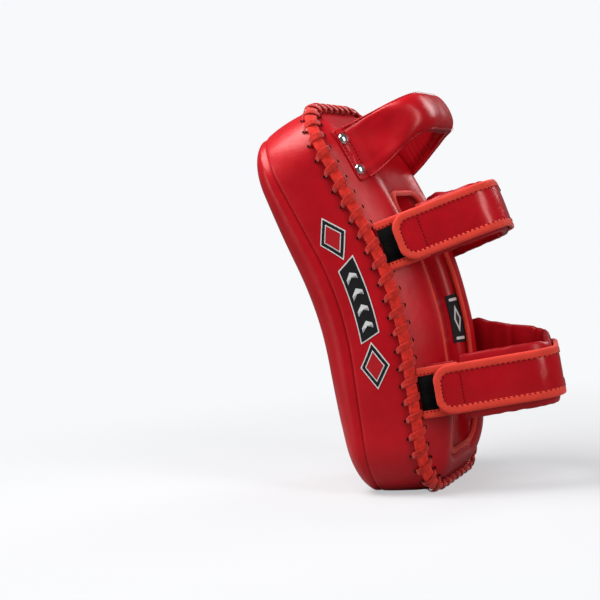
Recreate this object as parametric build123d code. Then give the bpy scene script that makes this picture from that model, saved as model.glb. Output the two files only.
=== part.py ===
from build123d import *
from math import cos, hypot, pi, radians, sin, tan
import os

# Thai pad: a curved leather kick pad with a padded arm rest, a grip and two closing straps.
#
# Frame: +Z up, the strike face looks along -Y, the arm side along +Y, X runs across the pad.
# The pad stands on its foot. Units are millimetres.
#
# The pad follows a bent centre line: s runs along it from the foot to the head, t runs across its
# thickness from the front seam (t = 0) to the laced edge (t = SIDE_DEPTH) and on to the arm side.

# ---- driving dimensions -------------------------------------------------------------------
LENGTH = 391.0            # foot to head, along the front seam
WIDTH = 200.0
SIDE_DEPTH = 58.0         # front seam to laced edge
CORNER = 55.0             # corners of the outline
LEAN_FOOT = 4.5           # lean towards the strike side below the bend, degrees
LEAN_HEAD = 26.0          # the same above the bend
BEND_FROM = 140.0
BEND_TO = 255.0
FOOT_RISE = 2.0           # height of the laced edge over the floor
LEATHER = 1.6
GAP = 0.2                 # between pieces of one body

CROWN_MIDDLE = 38.0       # strike face in front of the front seam, at half length
CROWN_END = 22.0          # the same at the foot and the head
CROWN_ROUND = 20.0        # rounding of the strike face's rim

REST_INSET = 18.0         # padded arm rest, in from the laced edge
REST_HEIGHT = 32.0
REST_ROUND = 28.0
REST_CORNER = 30.0        # corners of its outline
CHANNEL_HALF = 48.0       # channel for the forearm
CHANNEL_FROM = 32.0
CHANNEL_TO = 276.0
CHANNEL_FLOOR = 6.0
CHANNEL_CORNER = 20.0
BINDING_WIDTH = 5.0
BINDING_HEIGHT = 2.2
LABEL = (42.0, 16.0, 0.8)  # length, width, thickness
LABEL_AT = 158.0          # its middle, along the pad
LABEL_LEVEL = 0.6         # its middle, as a share of the arm rest's height
CORE_SPLIT = 0.6          # front core block, as a share of the side depth

LACE_PITCH = 17.5
LACE_CORD_RADIUS = 2.2
LACE_THICKNESS = 1.2
LACE_WIDTH = 8.0
LACE_OUTSET = 1.8         # cord's middle, out from both faces of the laced edge
LACE_SLOPE = 20.0         # ends of each stitch, from the faces they lie on, degrees

GRIP_AT = 325.0           # grip: middle, along the pad
GRIP_HALF_WIDTH = 28.0
GRIP_FOOT_HALF = 69.0
GRIP_TOP_HALF = 62.0
GRIP_FOOT = 37.0          # heights over the laced edge
GRIP_TOP = 104.0
GRIP_ROUND = 40.0
GRIP_THICKNESS = 22.0
GRIP_PIVOT = 34.0
FLANGE = (14.0, 2.5, 56.0)  # width, thickness, length
FLANGE_CORNER = 4.0
FLANGE_SLOPE = 45.0       # round the arm rest's edge, degrees
RIVET_SPACING = 34.0
RIVET_HEAD = (4.6, 1.8)   # radius, thickness
RIVET_DOME = 1.1
RIVET_SHANK = (1.5, 6.0)  # radius, length under the flange's outer face
WASHER = (4.4, 1.0)       # radius, thickness
WASHER_SINK = 1.5         # under the back cover, which is rounded there

STRAPS = {                # middle along the pad, lean of its plane, height of the crest
    "upper": {"at": 232.0, "lean": 18.0, "crest": 128.0, "pad_half": 24.0},
    "lower": {"at": 101.0, "lean": 6.5, "crest": 143.0, "pad_half": 32.0},
}
STRAP_HALF = 24.0
STRAP_THICKNESS = 3.6
STRAP_BINDING = 4.0       # how much of each edge the binding takes
BINDING_PROUD = 0.7
PATCH = 1.2               # hook or loop tape
PATCH_HALF = 17.0
PAD_THICKNESS = 8.0
BASE_PAD_THICKNESS = 5.0
ROOT_HALF = 98.0          # strap ends, out from the middle
ROOT_HEIGHT = 8.0
TIP_HEIGHT = 24.0
BASE_TOP = 50.0
LINING_FROM = 58.0
SHOULDER_NEAR = 68.0
SHOULDER_FAR = -52.0
SHOULDER_DROP = 26.0
NEAR_ROUND = 28.0
FAR_ROUND = 45.0
PEEL_AT = 30.0            # where the wrap strap bends open, from the middle
PEEL_GAP = 0.4

# ---- the bent centre line -----------------------------------------------------------------
FOOT_ANGLE = radians(LEAN_FOOT)
HEAD_ANGLE = radians(LEAN_HEAD)
BEND_RADIUS = (BEND_TO - BEND_FROM) / (HEAD_ANGLE - FOOT_ANGLE)
SEAM_FOOT_Z = FOOT_RISE - SIDE_DEPTH * sin(FOOT_ANGLE)


def lean(s):
    """Lean of the centre line at s, in radians."""
    return min(max(FOOT_ANGLE + (s - BEND_FROM) / BEND_RADIUS, FOOT_ANGLE), HEAD_ANGLE)


def point(x, s, t):
    """The point across by x, along by s and through the thickness by t."""
    below = min(s, BEND_FROM)
    a = lean(s)
    y = -sin(FOOT_ANGLE) * below
    z = cos(FOOT_ANGLE) * below + SEAM_FOOT_Z
    if s > BEND_FROM:
        y += BEND_RADIUS * (cos(a) - cos(FOOT_ANGLE))
        z += BEND_RADIUS * (sin(a) - sin(FOOT_ANGLE))
    if s > BEND_TO:
        y -= sin(HEAD_ANGLE) * (s - BEND_TO)
        z += cos(HEAD_ANGLE) * (s - BEND_TO)
    return Vector(x, y + t * cos(a), z + t * sin(a))


def outward(a):
    """Direction through the thickness where the lean is a."""
    return Vector(0, cos(a), sin(a))


def along(a):
    """Direction along the pad where the lean is a."""
    return Vector(0, -sin(a), cos(a))


def course(x, t, s_from, s_to):
    """Edges of the bent line at x and t, from s_from to s_to."""
    marks = [s_from] + [s for s in (BEND_FROM, BEND_TO) if s_from < s < s_to] + [s_to]
    edges = []
    for a, b in zip(marks, marks[1:]):
        if BEND_FROM <= a and b <= BEND_TO:
            edges.append(ThreePointArc(point(x, a, t), point(x, (a + b) / 2, t), point(x, b, t)))
        else:
            edges.append(Line(point(x, a, t), point(x, b, t)))
    return edges


# ---- blocks that follow the bend ----------------------------------------------------------
def spread(edges, x_from, x_to):
    """Solid between x_from and x_to over a closed side profile drawn at x_from."""
    return extrude(make_face(Curve() + edges), amount=x_to - x_from, dir=(1, 0, 0))


def slab(t_from, t_to, s_from, s_to, x_from, x_to):
    """Bent block with square corners."""
    edges = course(x_from, t_from, s_from, s_to) + course(x_from, t_to, s_from, s_to)
    edges += [Line(point(x_from, s, t_from), point(x_from, s, t_to)) for s in (s_from, s_to)]
    return spread(edges, x_from, x_to)


def round_corners(solid, half, s_from, s_to, t, radius):
    """Rounds the four corners of a block's outline."""
    corners = [point(x, s, t) for x in (-half, half) for s in (s_from, s_to)]
    edges = [solid.edges().sort_by_distance(c)[0] for c in corners]
    return fillet(edges, radius)


def block(t_from, t_to, inset, s_from=0.0, s_to=LENGTH, half=WIDTH / 2, radius=CORNER):
    """Bent block with a rounded outline, inset from the full outline on every side."""
    low, high, side = s_from + inset, s_to - inset, half - inset
    solid = slab(t_from, t_to, low, high, -side, side)
    return round_corners(solid, side, low, high, (t_from + t_to) / 2, radius - inset)


def crown(inset):
    """The strike face's domed block in front of the seam, inset on every side but the seam's."""
    low, high, side = inset, LENGTH - inset, WIDTH / 2 - inset
    ends, middle = inset - CROWN_END, inset - CROWN_MIDDLE
    edges = course(-side, 0, low, high)
    edges += [Line(point(-side, s, 0), point(-side, s, ends)) for s in (low, high)]
    face_line = (point(-side, low, ends), point(-side, LENGTH / 2, middle), point(-side, high, ends))
    edges.append(ThreePointArc(*face_line))
    solid = round_corners(spread(edges, -side, side), side, low, high, ends / 2, CORNER - inset)
    face = solid.faces().sort_by_distance(point(0, LENGTH / 2, middle))[0]
    return fillet(face.edges(), CROWN_ROUND - inset)


def rest(inset):
    """The arm rest's block, inset on every side but the one on the pad."""
    top = SIDE_DEPTH + REST_HEIGHT - inset
    solid = block(SIDE_DEPTH, top, REST_INSET + inset, radius=REST_INSET + REST_CORNER)
    middles = (BEND_FROM / 2, (BEND_FROM + BEND_TO) / 2, (BEND_TO + LENGTH) / 2)
    spots = [point(0, s, top) for s in middles]
    faces = [solid.faces().sort_by_distance(spot)[0] for spot in spots]
    edges = [edge for face in faces for edge in face.edges()]
    rim = [edge for edge in edges if abs(edge.center().X) > 1 or len(edge.vertices()) < 2]
    ends = [min(edges, key=lambda e, s=s: (e.center() - point(0, s, top)).length)
            for s in (REST_INSET + inset, LENGTH - REST_INSET - inset)]
    return fillet(rim + ends, REST_ROUND - inset)


def channel(inset, floor):
    """The forearm channel's space, inset on every side but the open one."""
    return block(SIDE_DEPTH + floor, SIDE_DEPTH + REST_HEIGHT + 20, inset, CHANNEL_FROM, CHANNEL_TO,
                 CHANNEL_HALF, CHANNEL_CORNER)


def above_floor(shape, floor=0.0):
    """Cuts away what would be under the floor."""
    depth = 40
    return shape - Pos(0, 0, floor - depth / 2) * Box(4 * WIDTH, 4 * WIDTH, depth)


# ---- pad body -----------------------------------------------------------------------------
def make_shell_and_foam():
    skin_inside = LEATHER + GAP
    parts = {}
    parts["strike_panel"] = above_floor(crown(0)) - above_floor(crown(LEATHER), LEATHER)
    foam = crown(skin_inside) & block(-CROWN_MIDDLE, -GAP, skin_inside)
    parts["strike_foam"] = above_floor(foam, skin_inside)
    wall_top = SIDE_DEPTH - LEATHER - GAP
    wall = above_floor(block(GAP, wall_top, 0)) - above_floor(block(GAP, wall_top, LEATHER), LEATHER)
    half_space = Box(WIDTH, 4 * WIDTH, 4 * LENGTH)
    parts["gusset_right"] = wall & Pos(WIDTH / 2 + GAP / 2, 0, 0) * half_space
    parts["gusset_left"] = wall & Pos(-WIDTH / 2 - GAP / 2, 0, 0) * half_space
    split = SIDE_DEPTH * CORE_SPLIT
    parts["front_core_foam"] = above_floor(block(GAP, split, skin_inside), skin_inside)
    parts["rear_core_foam"] = above_floor(block(split + GAP, wall_top, skin_inside), skin_inside)
    skirt = block(SIDE_DEPTH - LEATHER, SIDE_DEPTH, 0) - rest(LEATHER)
    parts["back_cover"] = above_floor(skirt + (rest(0) - rest(LEATHER)) - channel(-GAP, -SIDE_DEPTH / 2))
    parts["rest_foam"] = rest(skin_inside) - channel(-GAP, CHANNEL_FLOOR - LEATHER - GAP)
    lining = channel(0, CHANNEL_FLOOR - LEATHER) - channel(LEATHER, CHANNEL_FLOOR)
    top = block(SIDE_DEPTH, SIDE_DEPTH + REST_HEIGHT, 0)
    parts["arm_channel_panel"] = lining & top
    low, high = SIDE_DEPTH + REST_HEIGHT + GAP, SIDE_DEPTH + REST_HEIGHT + BINDING_HEIGHT
    outer, inner = (block(low, high, inset, CHANNEL_FROM, CHANNEL_TO, CHANNEL_HALF, CHANNEL_CORNER)
                    for inset in (-BINDING_WIDTH / 2, BINDING_WIDTH / 2))
    parts["channel_binding"] = outer - inner
    length, width, thickness = LABEL
    wall_x = -CHANNEL_HALF + LEATHER + GAP
    height = SIDE_DEPTH + REST_HEIGHT * LABEL_LEVEL
    parts["label_tab"] = slab(height - width / 2, height + width / 2,
                              LABEL_AT - length / 2, LABEL_AT + length / 2, wall_x, wall_x + thickness)
    return parts


def rim_run(outset, t):
    """The laced rim as a closed wire, outset from the outline."""
    half, low, high = WIDTH / 2 + outset, -outset, LENGTH + outset
    r = CORNER + outset
    edges = []
    for side in (-1, 1):
        edges += course(side * half, t, low + r, high - r)
        for end, turn in ((low, 1), (high, -1)):
            mid = r * (1 - cos(pi / 4))
            edges.append(ThreePointArc(point(side * half, end + turn * r, t),
                                       point(side * (half - mid), end + turn * mid, t),
                                       point(side * (half - r), end, t)))
    edges += [Line(point(r - half, end, t), point(half - r, end, t)) for end in (low, high)]
    return Wire(edges)


def make_lacing():
    """The laid cord along the rim and the stitches round it."""
    t = SIDE_DEPTH + LACE_OUTSET
    path = rim_run(LACE_OUTSET, t)
    start, heading = path @ 0, path % 0
    cord = sweep(Plane(start, z_dir=heading) * Circle(LACE_CORD_RADIUS), path=path)
    inner = LACE_CORD_RADIUS + GAP
    ring = Circle(inner + LACE_THICKNESS) - Circle(inner)
    reach = 4 * inner
    slip = reach * tan(radians(LACE_SLOPE))
    opening = Polygon((0, 0), (-reach, -slip), (-reach, -reach), (-slip, -reach), align=None)
    stitch = extrude(ring - opening, amount=LACE_WIDTH / 2, both=True)
    count = round(path.length / LACE_PITCH)
    stitches = []
    for i in range(count):
        spot, heading = path @ (i / count), path % (i / count)
        out, through = rim_axes(spot, heading)
        stitches.append(Plane(spot, x_dir=out, z_dir=out.cross(through)).location * stitch)
    lace = Compound([above_floor(one, GAP) for one in stitches])
    return {"edge_cord": above_floor(cord, GAP), "edge_lace": lace}


def rim_axes(spot, heading):
    """Directions out of the outline and through the thickness at a spot of the rim."""
    t = SIDE_DEPTH + LACE_OUTSET
    nearest = min(range(int(LENGTH) + 1), key=lambda s: (spot - point(spot.X, s, t)).length)
    through = outward(lean(nearest))
    side = heading.cross(through).normalized()
    away = spot - point(0, LENGTH / 2, t)
    return (side if side.dot(away) > 0 else side * -1), through


# ---- grip ---------------------------------------------------------------------------------
def flat_plane(s, height, angle):
    """Drawing plane across the pad: x across, y out of the arm side, z along the pad."""
    foot = point(0, s, SIDE_DEPTH)
    return Plane(foot + outward(angle) * height, x_dir=(1, 0, 0), z_dir=along(angle))


def shifted(points, distance):
    """The same open outline, moved sideways by distance, towards its inside when positive."""
    moved = []
    for i, (x, y) in enumerate(points):
        normals = []
        for (ax, ay), (bx, by) in zip(points, points[1:]):
            if (x, y) in ((ax, ay), (bx, by)):
                run = hypot(bx - ax, by - ay)
                normals.append(((by - ay) / run, (ax - bx) / run))
        nx, ny = (sum(n[k] for n in normals) for k in (0, 1))
        scale = distance * len(normals) / (nx * nx + ny * ny)
        moved.append((x + nx * scale, y + ny * scale))
    return moved


def band(points, radii, near, far):
    """Face between two offsets of an open outline with rounded corners."""
    paths = []
    for distance in (near, far):
        corners = shifted(points, distance)
        paths.append(FilletPolyline(*corners, radius=[r - distance for r in radii]))
    caps = [Line(paths[0] @ k, paths[1] @ k) for k in (0, 1)]
    return make_face(Curve() + paths + caps)


def make_grip():
    """The padded grip with its riveted flanges, and the holes and pockets the rivets need."""
    a = lean(GRIP_AT)
    plane = flat_plane(GRIP_AT, 0, a)
    arch = [(-GRIP_FOOT_HALF, GRIP_FOOT), (-GRIP_TOP_HALF, GRIP_TOP), (GRIP_TOP_HALF, GRIP_TOP),
            (GRIP_FOOT_HALF, GRIP_FOOT)]
    radii = [GRIP_ROUND, GRIP_ROUND]
    layers = {
        "grip_cover": (0, LEATHER),
        "grip_foam": (LEATHER + GAP, GRIP_THICKNESS - LEATHER - GAP),
        "grip_lining": (GRIP_THICKNESS - LEATHER, GRIP_THICKNESS),
    }
    parts = {}
    for name, (near, far) in layers.items():
        layer = extrude(band(arch, radii, near, far), amount=GRIP_HALF_WIDTH, both=True)
        parts[name] = plane.location * layer
    heads, washers, holes, pockets = [], [], [], []
    for side, name in ((1, "right"), (-1, "left")):
        slope = radians(FLANGE_SLOPE)
        round_middle = WIDTH / 2 - REST_INSET - REST_ROUND
        reach = REST_ROUND + GAP
        out = Vector(side * cos(slope), sin(slope), 0)
        base = Vector(side * round_middle, REST_HEIGHT - REST_ROUND, 0) + out * reach
        seat = Plane(base, x_dir=Vector(0, 0, 1), z_dir=out).location
        width, thick, length = FLANGE
        strip = Pos(0, 0, thick / 2) * Box(length, width, thick)
        strip = fillet(strip.edges().filter_by(Axis.Z), FLANGE_CORNER)
        for offset in (-RIVET_SPACING / 2, RIVET_SPACING / 2):
            head_radius, head_thick = RIVET_HEAD
            shank_radius, shank_length = RIVET_SHANK
            head = Pos(offset, 0, thick + GAP / 2 + head_thick / 2) * Cylinder(head_radius, head_thick)
            head = fillet(head.edges().sort_by(Axis.Z)[-1], RIVET_DOME)
            shank = Pos(offset, 0, thick + GAP - shank_length / 2) * Cylinder(shank_radius, shank_length)
            heads.append(plane.location * seat * (head + shank))
            hole = Pos(offset, 0, 0) * Cylinder(shank_radius + GAP / 2, 3 * shank_length)
            strip -= hole
            holes.append(plane.location * seat * hole)
            radius, height = WASHER
            depth = -LEATHER - WASHER_SINK - height / 2
            ring = Cylinder(radius, height) - Cylinder(shank_radius + GAP / 2, height)
            washers.append(plane.location * seat * Pos(offset, 0, depth) * ring)
            pocket = Pos(offset, 0, depth) * Cylinder(radius + GAP, height + 2 * GAP)
            pockets.append(plane.location * seat * pocket)
        parts["grip_flange_" + name] = plane.location * seat * strip
    parts["grip_rivets"] = Compound(heads)
    parts["rivet_washers"] = Compound(washers)
    return parts, holes, pockets


# ---- closing straps -----------------------------------------------------------------------
def strap_outline(crest):
    """Middle line of the wrap strap, from its far root over the forearm to its tip."""
    return [(-ROOT_HALF, ROOT_HEIGHT), (SHOULDER_FAR, crest - SHOULDER_DROP), (SHOULDER_NEAR, crest),
            (ROOT_HALF, TIP_HEIGHT)]


def on_line(a, b, y):
    """The point at height y on the line through a and b."""
    k = (y - a[1]) / (b[1] - a[1])
    return (a[0] + k * (b[0] - a[0]), y)


def peel_axis(crest):
    """Where the wrap strap bends open: x and height of the hinge line on its outer face."""
    a, b = strap_outline(crest)[1:3]
    y = a[1] + (PEEL_AT - a[0]) * (b[1] - a[1]) / (b[0] - a[0])
    return PEEL_AT, y + STRAP_THICKNESS / 2 + BINDING_PROUD + GAP


def make_strap(name, at, lean, crest, pad_half):
    """One closing strap: the short base strap, and the wrap strap with its tip."""
    plane = flat_plane(at, 0, radians(lean))
    line = strap_outline(crest)
    radii = [FAR_ROUND, NEAR_ROUND]
    half_thick = STRAP_THICKNESS / 2
    web = STRAP_HALF - STRAP_BINDING

    def solid(face, half, shift=0.0):
        return extrude(Pos(0, 0, shift) * face, amount=half, both=True)

    def edged(face):
        edge_half = STRAP_BINDING / 2 - GAP / 2
        middle = STRAP_HALF - STRAP_BINDING / 2 + GAP / 2
        return [solid(face, edge_half, side * middle) for side in (-1, 1)]

    def keep(x_low, x_high, y_low=-ROOT_HEIGHT, y_high=2 * crest):
        middle = Pos((x_low + x_high) / 2, (y_low + y_high) / 2, 0)
        return middle * Box(x_high - x_low, y_high - y_low, 4 * pad_half)

    hinge_x = peel_axis(crest)[0]
    wrap_side = keep(-2 * WIDTH, hinge_x - PEEL_GAP)
    tip_side = keep(hinge_x + PEEL_GAP, 2 * WIDTH)
    core = band(line, radii, -half_thick, half_thick)
    edge = band(line, radii, -half_thick - BINDING_PROUD, half_thick + BINDING_PROUD)
    inside = half_thick + BINDING_PROUD + GAP
    lining = band(line, radii, inside, inside + PAD_THICKNESS)
    parts = {}
    strap = solid(core, web)
    parts["wrap_strap"] = strap & wrap_side
    parts["tip_strap"] = strap & tip_side
    for key, side in (("wrap_binding", wrap_side), ("tip_binding", tip_side)):
        parts[key] = Compound([piece & side for piece in edged(edge)])
    root_clear = keep(-2 * WIDTH, hinge_x - PAD_THICKNESS, 3 * ROOT_HEIGHT)
    parts["wrap_pad"] = solid(lining, pad_half) & root_clear
    parts["tip_pad"] = solid(lining, web) & keep(hinge_x + PAD_THICKNESS, 2 * WIDTH, LINING_FROM)

    # tapes and base strap, inwards from the wrap strap's tip
    shoulder, tip = line[2], line[3]
    run = hypot(tip[0] - shoulder[0], tip[1] - shoulder[1])
    square = run / abs(tip[1] - shoulder[1])  # horizontal distance for one unit square to the line

    def leaf(near, far, low, high):
        """Face of a flat layer beside the tip, between two offsets and two heights."""
        corners = []
        for offset, y in ((near, low), (near, high), (far, high), (far, low)):
            x = on_line(shoulder, tip, y)[0]
            corners.append((x - offset * square, y))
        return make_face(Polyline(*corners, close=True))

    hook = half_thick + GAP
    loop = half_thick + BINDING_PROUD + PATCH + 2 * GAP
    base = loop + PATCH + GAP + BINDING_PROUD
    pad = base + STRAP_THICKNESS + BINDING_PROUD + GAP
    parts["hook_patch"] = solid(leaf(hook, hook + PATCH, TIP_HEIGHT + 2, BASE_TOP - 4), PATCH_HALF)
    parts["loop_patch"] = solid(leaf(base - GAP - PATCH, base - GAP, ROOT_HEIGHT + 2, BASE_TOP - 2), PATCH_HALF)
    parts["base_strap"] = solid(leaf(base, base + STRAP_THICKNESS, ROOT_HEIGHT, BASE_TOP), web)
    base_edge = leaf(base - BINDING_PROUD, base + STRAP_THICKNESS + BINDING_PROUD, ROOT_HEIGHT, BASE_TOP)
    parts["base_binding"] = Compound(edged(base_edge))
    base_lining = leaf(pad, pad + BASE_PAD_THICKNESS, ROOT_HEIGHT + 6, BASE_TOP)
    parts["base_pad"] = solid(base_lining, STRAP_HALF)
    return {f"{name}_{key}": plane.location * piece for key, piece in parts.items()}


# ---- whole pad ----------------------------------------------------------------------------
def build():
    parts = make_shell_and_foam()
    parts.update(make_lacing())
    grip, holes, pockets = make_grip()
    parts.update(grip)
    for hole, pocket in zip(holes, pockets):
        parts["back_cover"] -= hole
        parts["rest_foam"] -= hole
        parts["rest_foam"] -= pocket
    for name, sizes in STRAPS.items():
        parts.update(make_strap(name, **sizes))
    solids = [solid for part in parts.values() for solid in part.solids()]
    box = Compound(solids).bounding_box()
    shift = -(box.min.Y + box.max.Y) / 2
    return {name: Pos(0, shift, 0) * part for name, part in parts.items()}, shift


if __name__ == "__main__":
    os.makedirs("parts", exist_ok=True)
    made, centre_shift = build()
    for node, shape in made.items():
        shape.label = node
        export_step(shape, f"parts/{node}.step")
    print(len(made), "nodes; moved along Y by", round(centre_shift, 3))
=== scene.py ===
"""Thai pad maker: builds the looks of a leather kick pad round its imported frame."""
from math import copysign, cos, exp, hypot, pi, radians, sin

import bmesh
import bpy
from bpy.props import FloatProperty, FloatVectorProperty, PointerProperty
from mathutils import Matrix, Vector, noise


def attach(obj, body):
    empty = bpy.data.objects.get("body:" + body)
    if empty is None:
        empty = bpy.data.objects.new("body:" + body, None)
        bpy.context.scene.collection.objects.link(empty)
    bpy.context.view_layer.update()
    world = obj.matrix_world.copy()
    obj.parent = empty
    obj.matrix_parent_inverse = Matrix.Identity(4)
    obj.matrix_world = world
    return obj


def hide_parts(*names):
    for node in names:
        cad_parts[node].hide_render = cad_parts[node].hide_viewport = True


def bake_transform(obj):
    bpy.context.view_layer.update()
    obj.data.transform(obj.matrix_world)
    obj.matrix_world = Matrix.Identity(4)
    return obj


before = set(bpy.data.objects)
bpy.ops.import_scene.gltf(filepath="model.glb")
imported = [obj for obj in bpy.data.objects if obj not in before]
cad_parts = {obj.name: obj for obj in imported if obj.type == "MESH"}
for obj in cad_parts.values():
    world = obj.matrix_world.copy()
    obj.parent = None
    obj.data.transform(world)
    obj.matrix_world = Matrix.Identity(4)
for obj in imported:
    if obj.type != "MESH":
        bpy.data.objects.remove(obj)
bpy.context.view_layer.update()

bl_info = {
    "name": "Thai Pad Maker",
    "version": (1, 0, 0),
    "blender": (4, 5, 0),
    "location": "View3D > Sidebar > Thai Pad",
    "description": "Builds a laced leather kick pad with its grip and closing straps",
    "category": "Object",
}

# ---- sizes of the pad, in metres ------------------------------------------------------------
LENGTH = 0.391
HALF_WIDTH = 0.100
DEPTH = 0.058                 # front seam to laced edge
CORNER = 0.055
FOOT_ANGLE, HEAD_ANGLE = radians(4.5), radians(26.0)
BEND_FROM, BEND_TO = 0.140, 0.255
BEND_RADIUS = (BEND_TO - BEND_FROM) / (HEAD_ANGLE - FOOT_ANGLE)
SEAM_FOOT_Z = 0.002 - DEPTH * sin(FOOT_ANGLE)
CENTRE_SHIFT = -0.038838
FLOOR_GAP = 0.0005
LEATHER = 0.0014              # thickness of the outer leather
STRIKE_REACH, STRIKE_POWER = 0.046, 2.25

REST_INSET, REST_HEIGHT, REST_ROUND, REST_CORNER = 0.003, 0.032, 0.045, 0.052
RIM_DROP = 0.0080             # from the crest of the padding down to the channel's rim
CHANNEL_HALF, CHANNEL_FROM, CHANNEL_TO, CHANNEL_CORNER = 0.048, 0.032, 0.276, 0.022
CHANNEL_FLOOR = 0.0075
CHANNEL_HOLLOW = 0.017        # how far its hollow sides reach in
LABEL_MIDDLE, LABEL_LENGTH = 0.158, 0.042

GRIP_AT = 0.325
GRIP_PATH = [(-0.0755, 0.0195), (-0.071, 0.034), (-0.062, 0.104),
             (0.062, 0.104), (0.071, 0.034), (0.0755, 0.0195)]
GRIP_ROUNDS = [0.006, 0.040, 0.040, 0.006]
GRIP_OFFSET = 0.0070          # how far the bar stands up the pad from its legs

STRAPS = {
    "upper": {"at": 0.232, "lean": radians(18.0), "crest": 0.128, "cuff": 0.0275, "cuff_rise": 0.018},
    "lower": {"at": 0.101, "lean": radians(6.5), "crest": 0.143, "cuff": 0.0320, "cuff_rise": 0.024},
}
STRAP_HALF = 0.024
STRAP_SKIN = 0.0018           # half the strap's thickness
STRAP_ROOT, STRAP_FOLD_X, STRAP_BEND_X = (-0.0985, 0.0075), -0.052, 0.068
STRAP_FOOT = (0.098, 0.024)
TAPE = 0.0085                 # width of the edge tape on each face
PEEL_X = 0.030


# ---- the bent centre line -------------------------------------------------------------------
def lean(s):
    """Lean of the centre line at s along the pad."""
    return min(max(FOOT_ANGLE + (s - BEND_FROM) / BEND_RADIUS, FOOT_ANGLE), HEAD_ANGLE)


def point(x, s, t):
    """The point across by x, along by s and through the thickness by t."""
    below, a = min(s, BEND_FROM), lean(s)
    y = CENTRE_SHIFT - sin(FOOT_ANGLE) * below
    z = SEAM_FOOT_Z + cos(FOOT_ANGLE) * below
    if s > BEND_FROM:
        y += BEND_RADIUS * (cos(a) - cos(FOOT_ANGLE))
        z += BEND_RADIUS * (sin(a) - sin(FOOT_ANGLE))
    if s > BEND_TO:
        y -= sin(HEAD_ANGLE) * (s - BEND_TO)
        z += cos(HEAD_ANGLE) * (s - BEND_TO)
    return Vector((x, y + t * cos(a), z + t * sin(a)))


def outward(a):
    """Direction through the thickness where the lean is a."""
    return Vector((0, cos(a), sin(a)))


def along(a):
    """Direction along the pad where the lean is a."""
    return Vector((0, -sin(a), cos(a)))


def above_floor(p):
    """The same point, kept over the floor."""
    return Vector((p.x, p.y, max(p.z, FLOOR_GAP)))


def ripple(p, size, height):
    """Smooth unevenness of soft leather over foam."""
    return noise.noise(p / size) * height


def circle(count):
    """Cosine and sine of even steps round a circle."""
    return [(cos(2 * pi * k / count), sin(2 * pi * k / count)) for k in range(count)]


def squared(value, power):
    """The value's size to a power, with its sign kept: it squares off a round section."""
    return copysign(abs(value) ** power, value)


def rounded_end(u, power):
    """Fullness of a stuffed end: 0 at the end itself and 1 from u = 1 inwards."""
    return (1 - (1 - u) ** power) ** (1 / power)


# ---- outlines -------------------------------------------------------------------------------
END_STEPS, TURN_STEPS, SIDE_STEPS = 12, 12, 46


def half_outline(half, low, high, radius):
    """(x, s) points of a rounded rectangle's +X half, from the foot's middle to the head's."""
    run = half - radius
    points = [(run * (i / END_STEPS) ** 1.5, low) for i in range(END_STEPS)]
    for i in range(TURN_STEPS):
        a = pi / 2 * i / TURN_STEPS
        points.append((run + radius * sin(a), low + radius * (1 - cos(a))))
    for i in range(SIDE_STEPS):
        points.append((half, low + radius + (high - low - 2 * radius) * i / SIDE_STEPS))
    for i in range(TURN_STEPS):
        a = pi / 2 * i / TURN_STEPS
        points.append((run + radius * cos(a), high - radius * (1 - sin(a))))
    points += [(run * ((END_STEPS - i) / END_STEPS) ** 1.5, high) for i in range(END_STEPS + 1)]
    return points


def full_outline(half, low, high, radius):
    """The whole rounded rectangle, as a closed loop."""
    right = half_outline(half, low, high, radius)
    return right + [(-x, s) for x, s in reversed(right[1:-1])]


def pad_outline(inset, smallest=0.004, whole=True):
    """The pad's outline, inset from its edge."""
    make = full_outline if whole else half_outline
    return make(HALF_WIDTH - inset, inset, LENGTH - inset, max(CORNER - inset, smallest))


def depth_inside(x, s, half, low, high, radius):
    """Distance inside a rounded rectangle's edge."""
    dx = abs(x) - (half - radius)
    dy = abs(s - (low + high) / 2) - ((high - low) / 2 - radius)
    return radius - hypot(max(dx, 0), max(dy, 0)) - min(max(dx, dy), 0)


def rise(u, reach, power=2.3):
    """Profile of a stuffed edge: 0 at the seam, 1 from reach inwards."""
    return rounded_end(min(max(u, 0) / reach, 1.0), power)


# ---- meshes ---------------------------------------------------------------------------------
def add_mesh(name, verts, faces, material, uvs=None, hollow=False):
    """A smooth-shaded object from points and faces, facing outwards, or inwards if it is a hollow."""
    mesh = bpy.data.meshes.new(name)
    mesh.from_pydata([tuple(v) for v in verts], [], faces)
    mesh.materials.append(material)
    work = bmesh.new()
    work.from_mesh(mesh)
    bmesh.ops.recalc_face_normals(work, faces=work.faces)
    if hollow:
        bmesh.ops.reverse_faces(work, faces=work.faces)
    work.to_mesh(mesh)
    work.free()
    mesh.polygons.foreach_set("use_smooth", [True] * len(mesh.polygons))
    if uvs:
        layer = mesh.uv_layers.new(name="along_and_across")
        for loop in mesh.loops:
            layer.data[loop.index].uv = uvs[loop.vertex_index]
    mesh.validate()
    mesh.update()
    piece = bpy.data.objects.new(name, mesh)
    bpy.context.scene.collection.objects.link(piece)
    return piece


def rows_to_faces(rows, columns, closed_columns=False, closed_rows=False):
    """Quads over a grid of points stored row by row."""
    faces = []
    for r in range(rows if closed_rows else rows - 1):
        for c in range(columns if closed_columns else columns - 1):
            a, b = r * columns + c, r * columns + (c + 1) % columns
            d, e = (r + 1) % rows * columns + c, (r + 1) % rows * columns + (c + 1) % columns
            faces.append((a, b, e, d))
    return faces


def grid(name, rows, material, closed_columns=False, closed_rows=False, caps=False, uvs=None):
    """An object over a grid of points."""
    count, columns = len(rows), len(rows[0])
    faces = rows_to_faces(count, columns, closed_columns, closed_rows)
    if caps:
        faces += [tuple(range(columns)), tuple(range((count - 1) * columns, count * columns))]
    return add_mesh(name, [p for row in rows for p in row], faces, material, uvs)


def ring_grid(name, rows, colour, uvs=None):
    """A closed loop of rings, such as a cord or a tape that runs all round."""
    return grid(name, rows, finish(colour), closed_columns=True, closed_rows=True, uvs=uvs)


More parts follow.
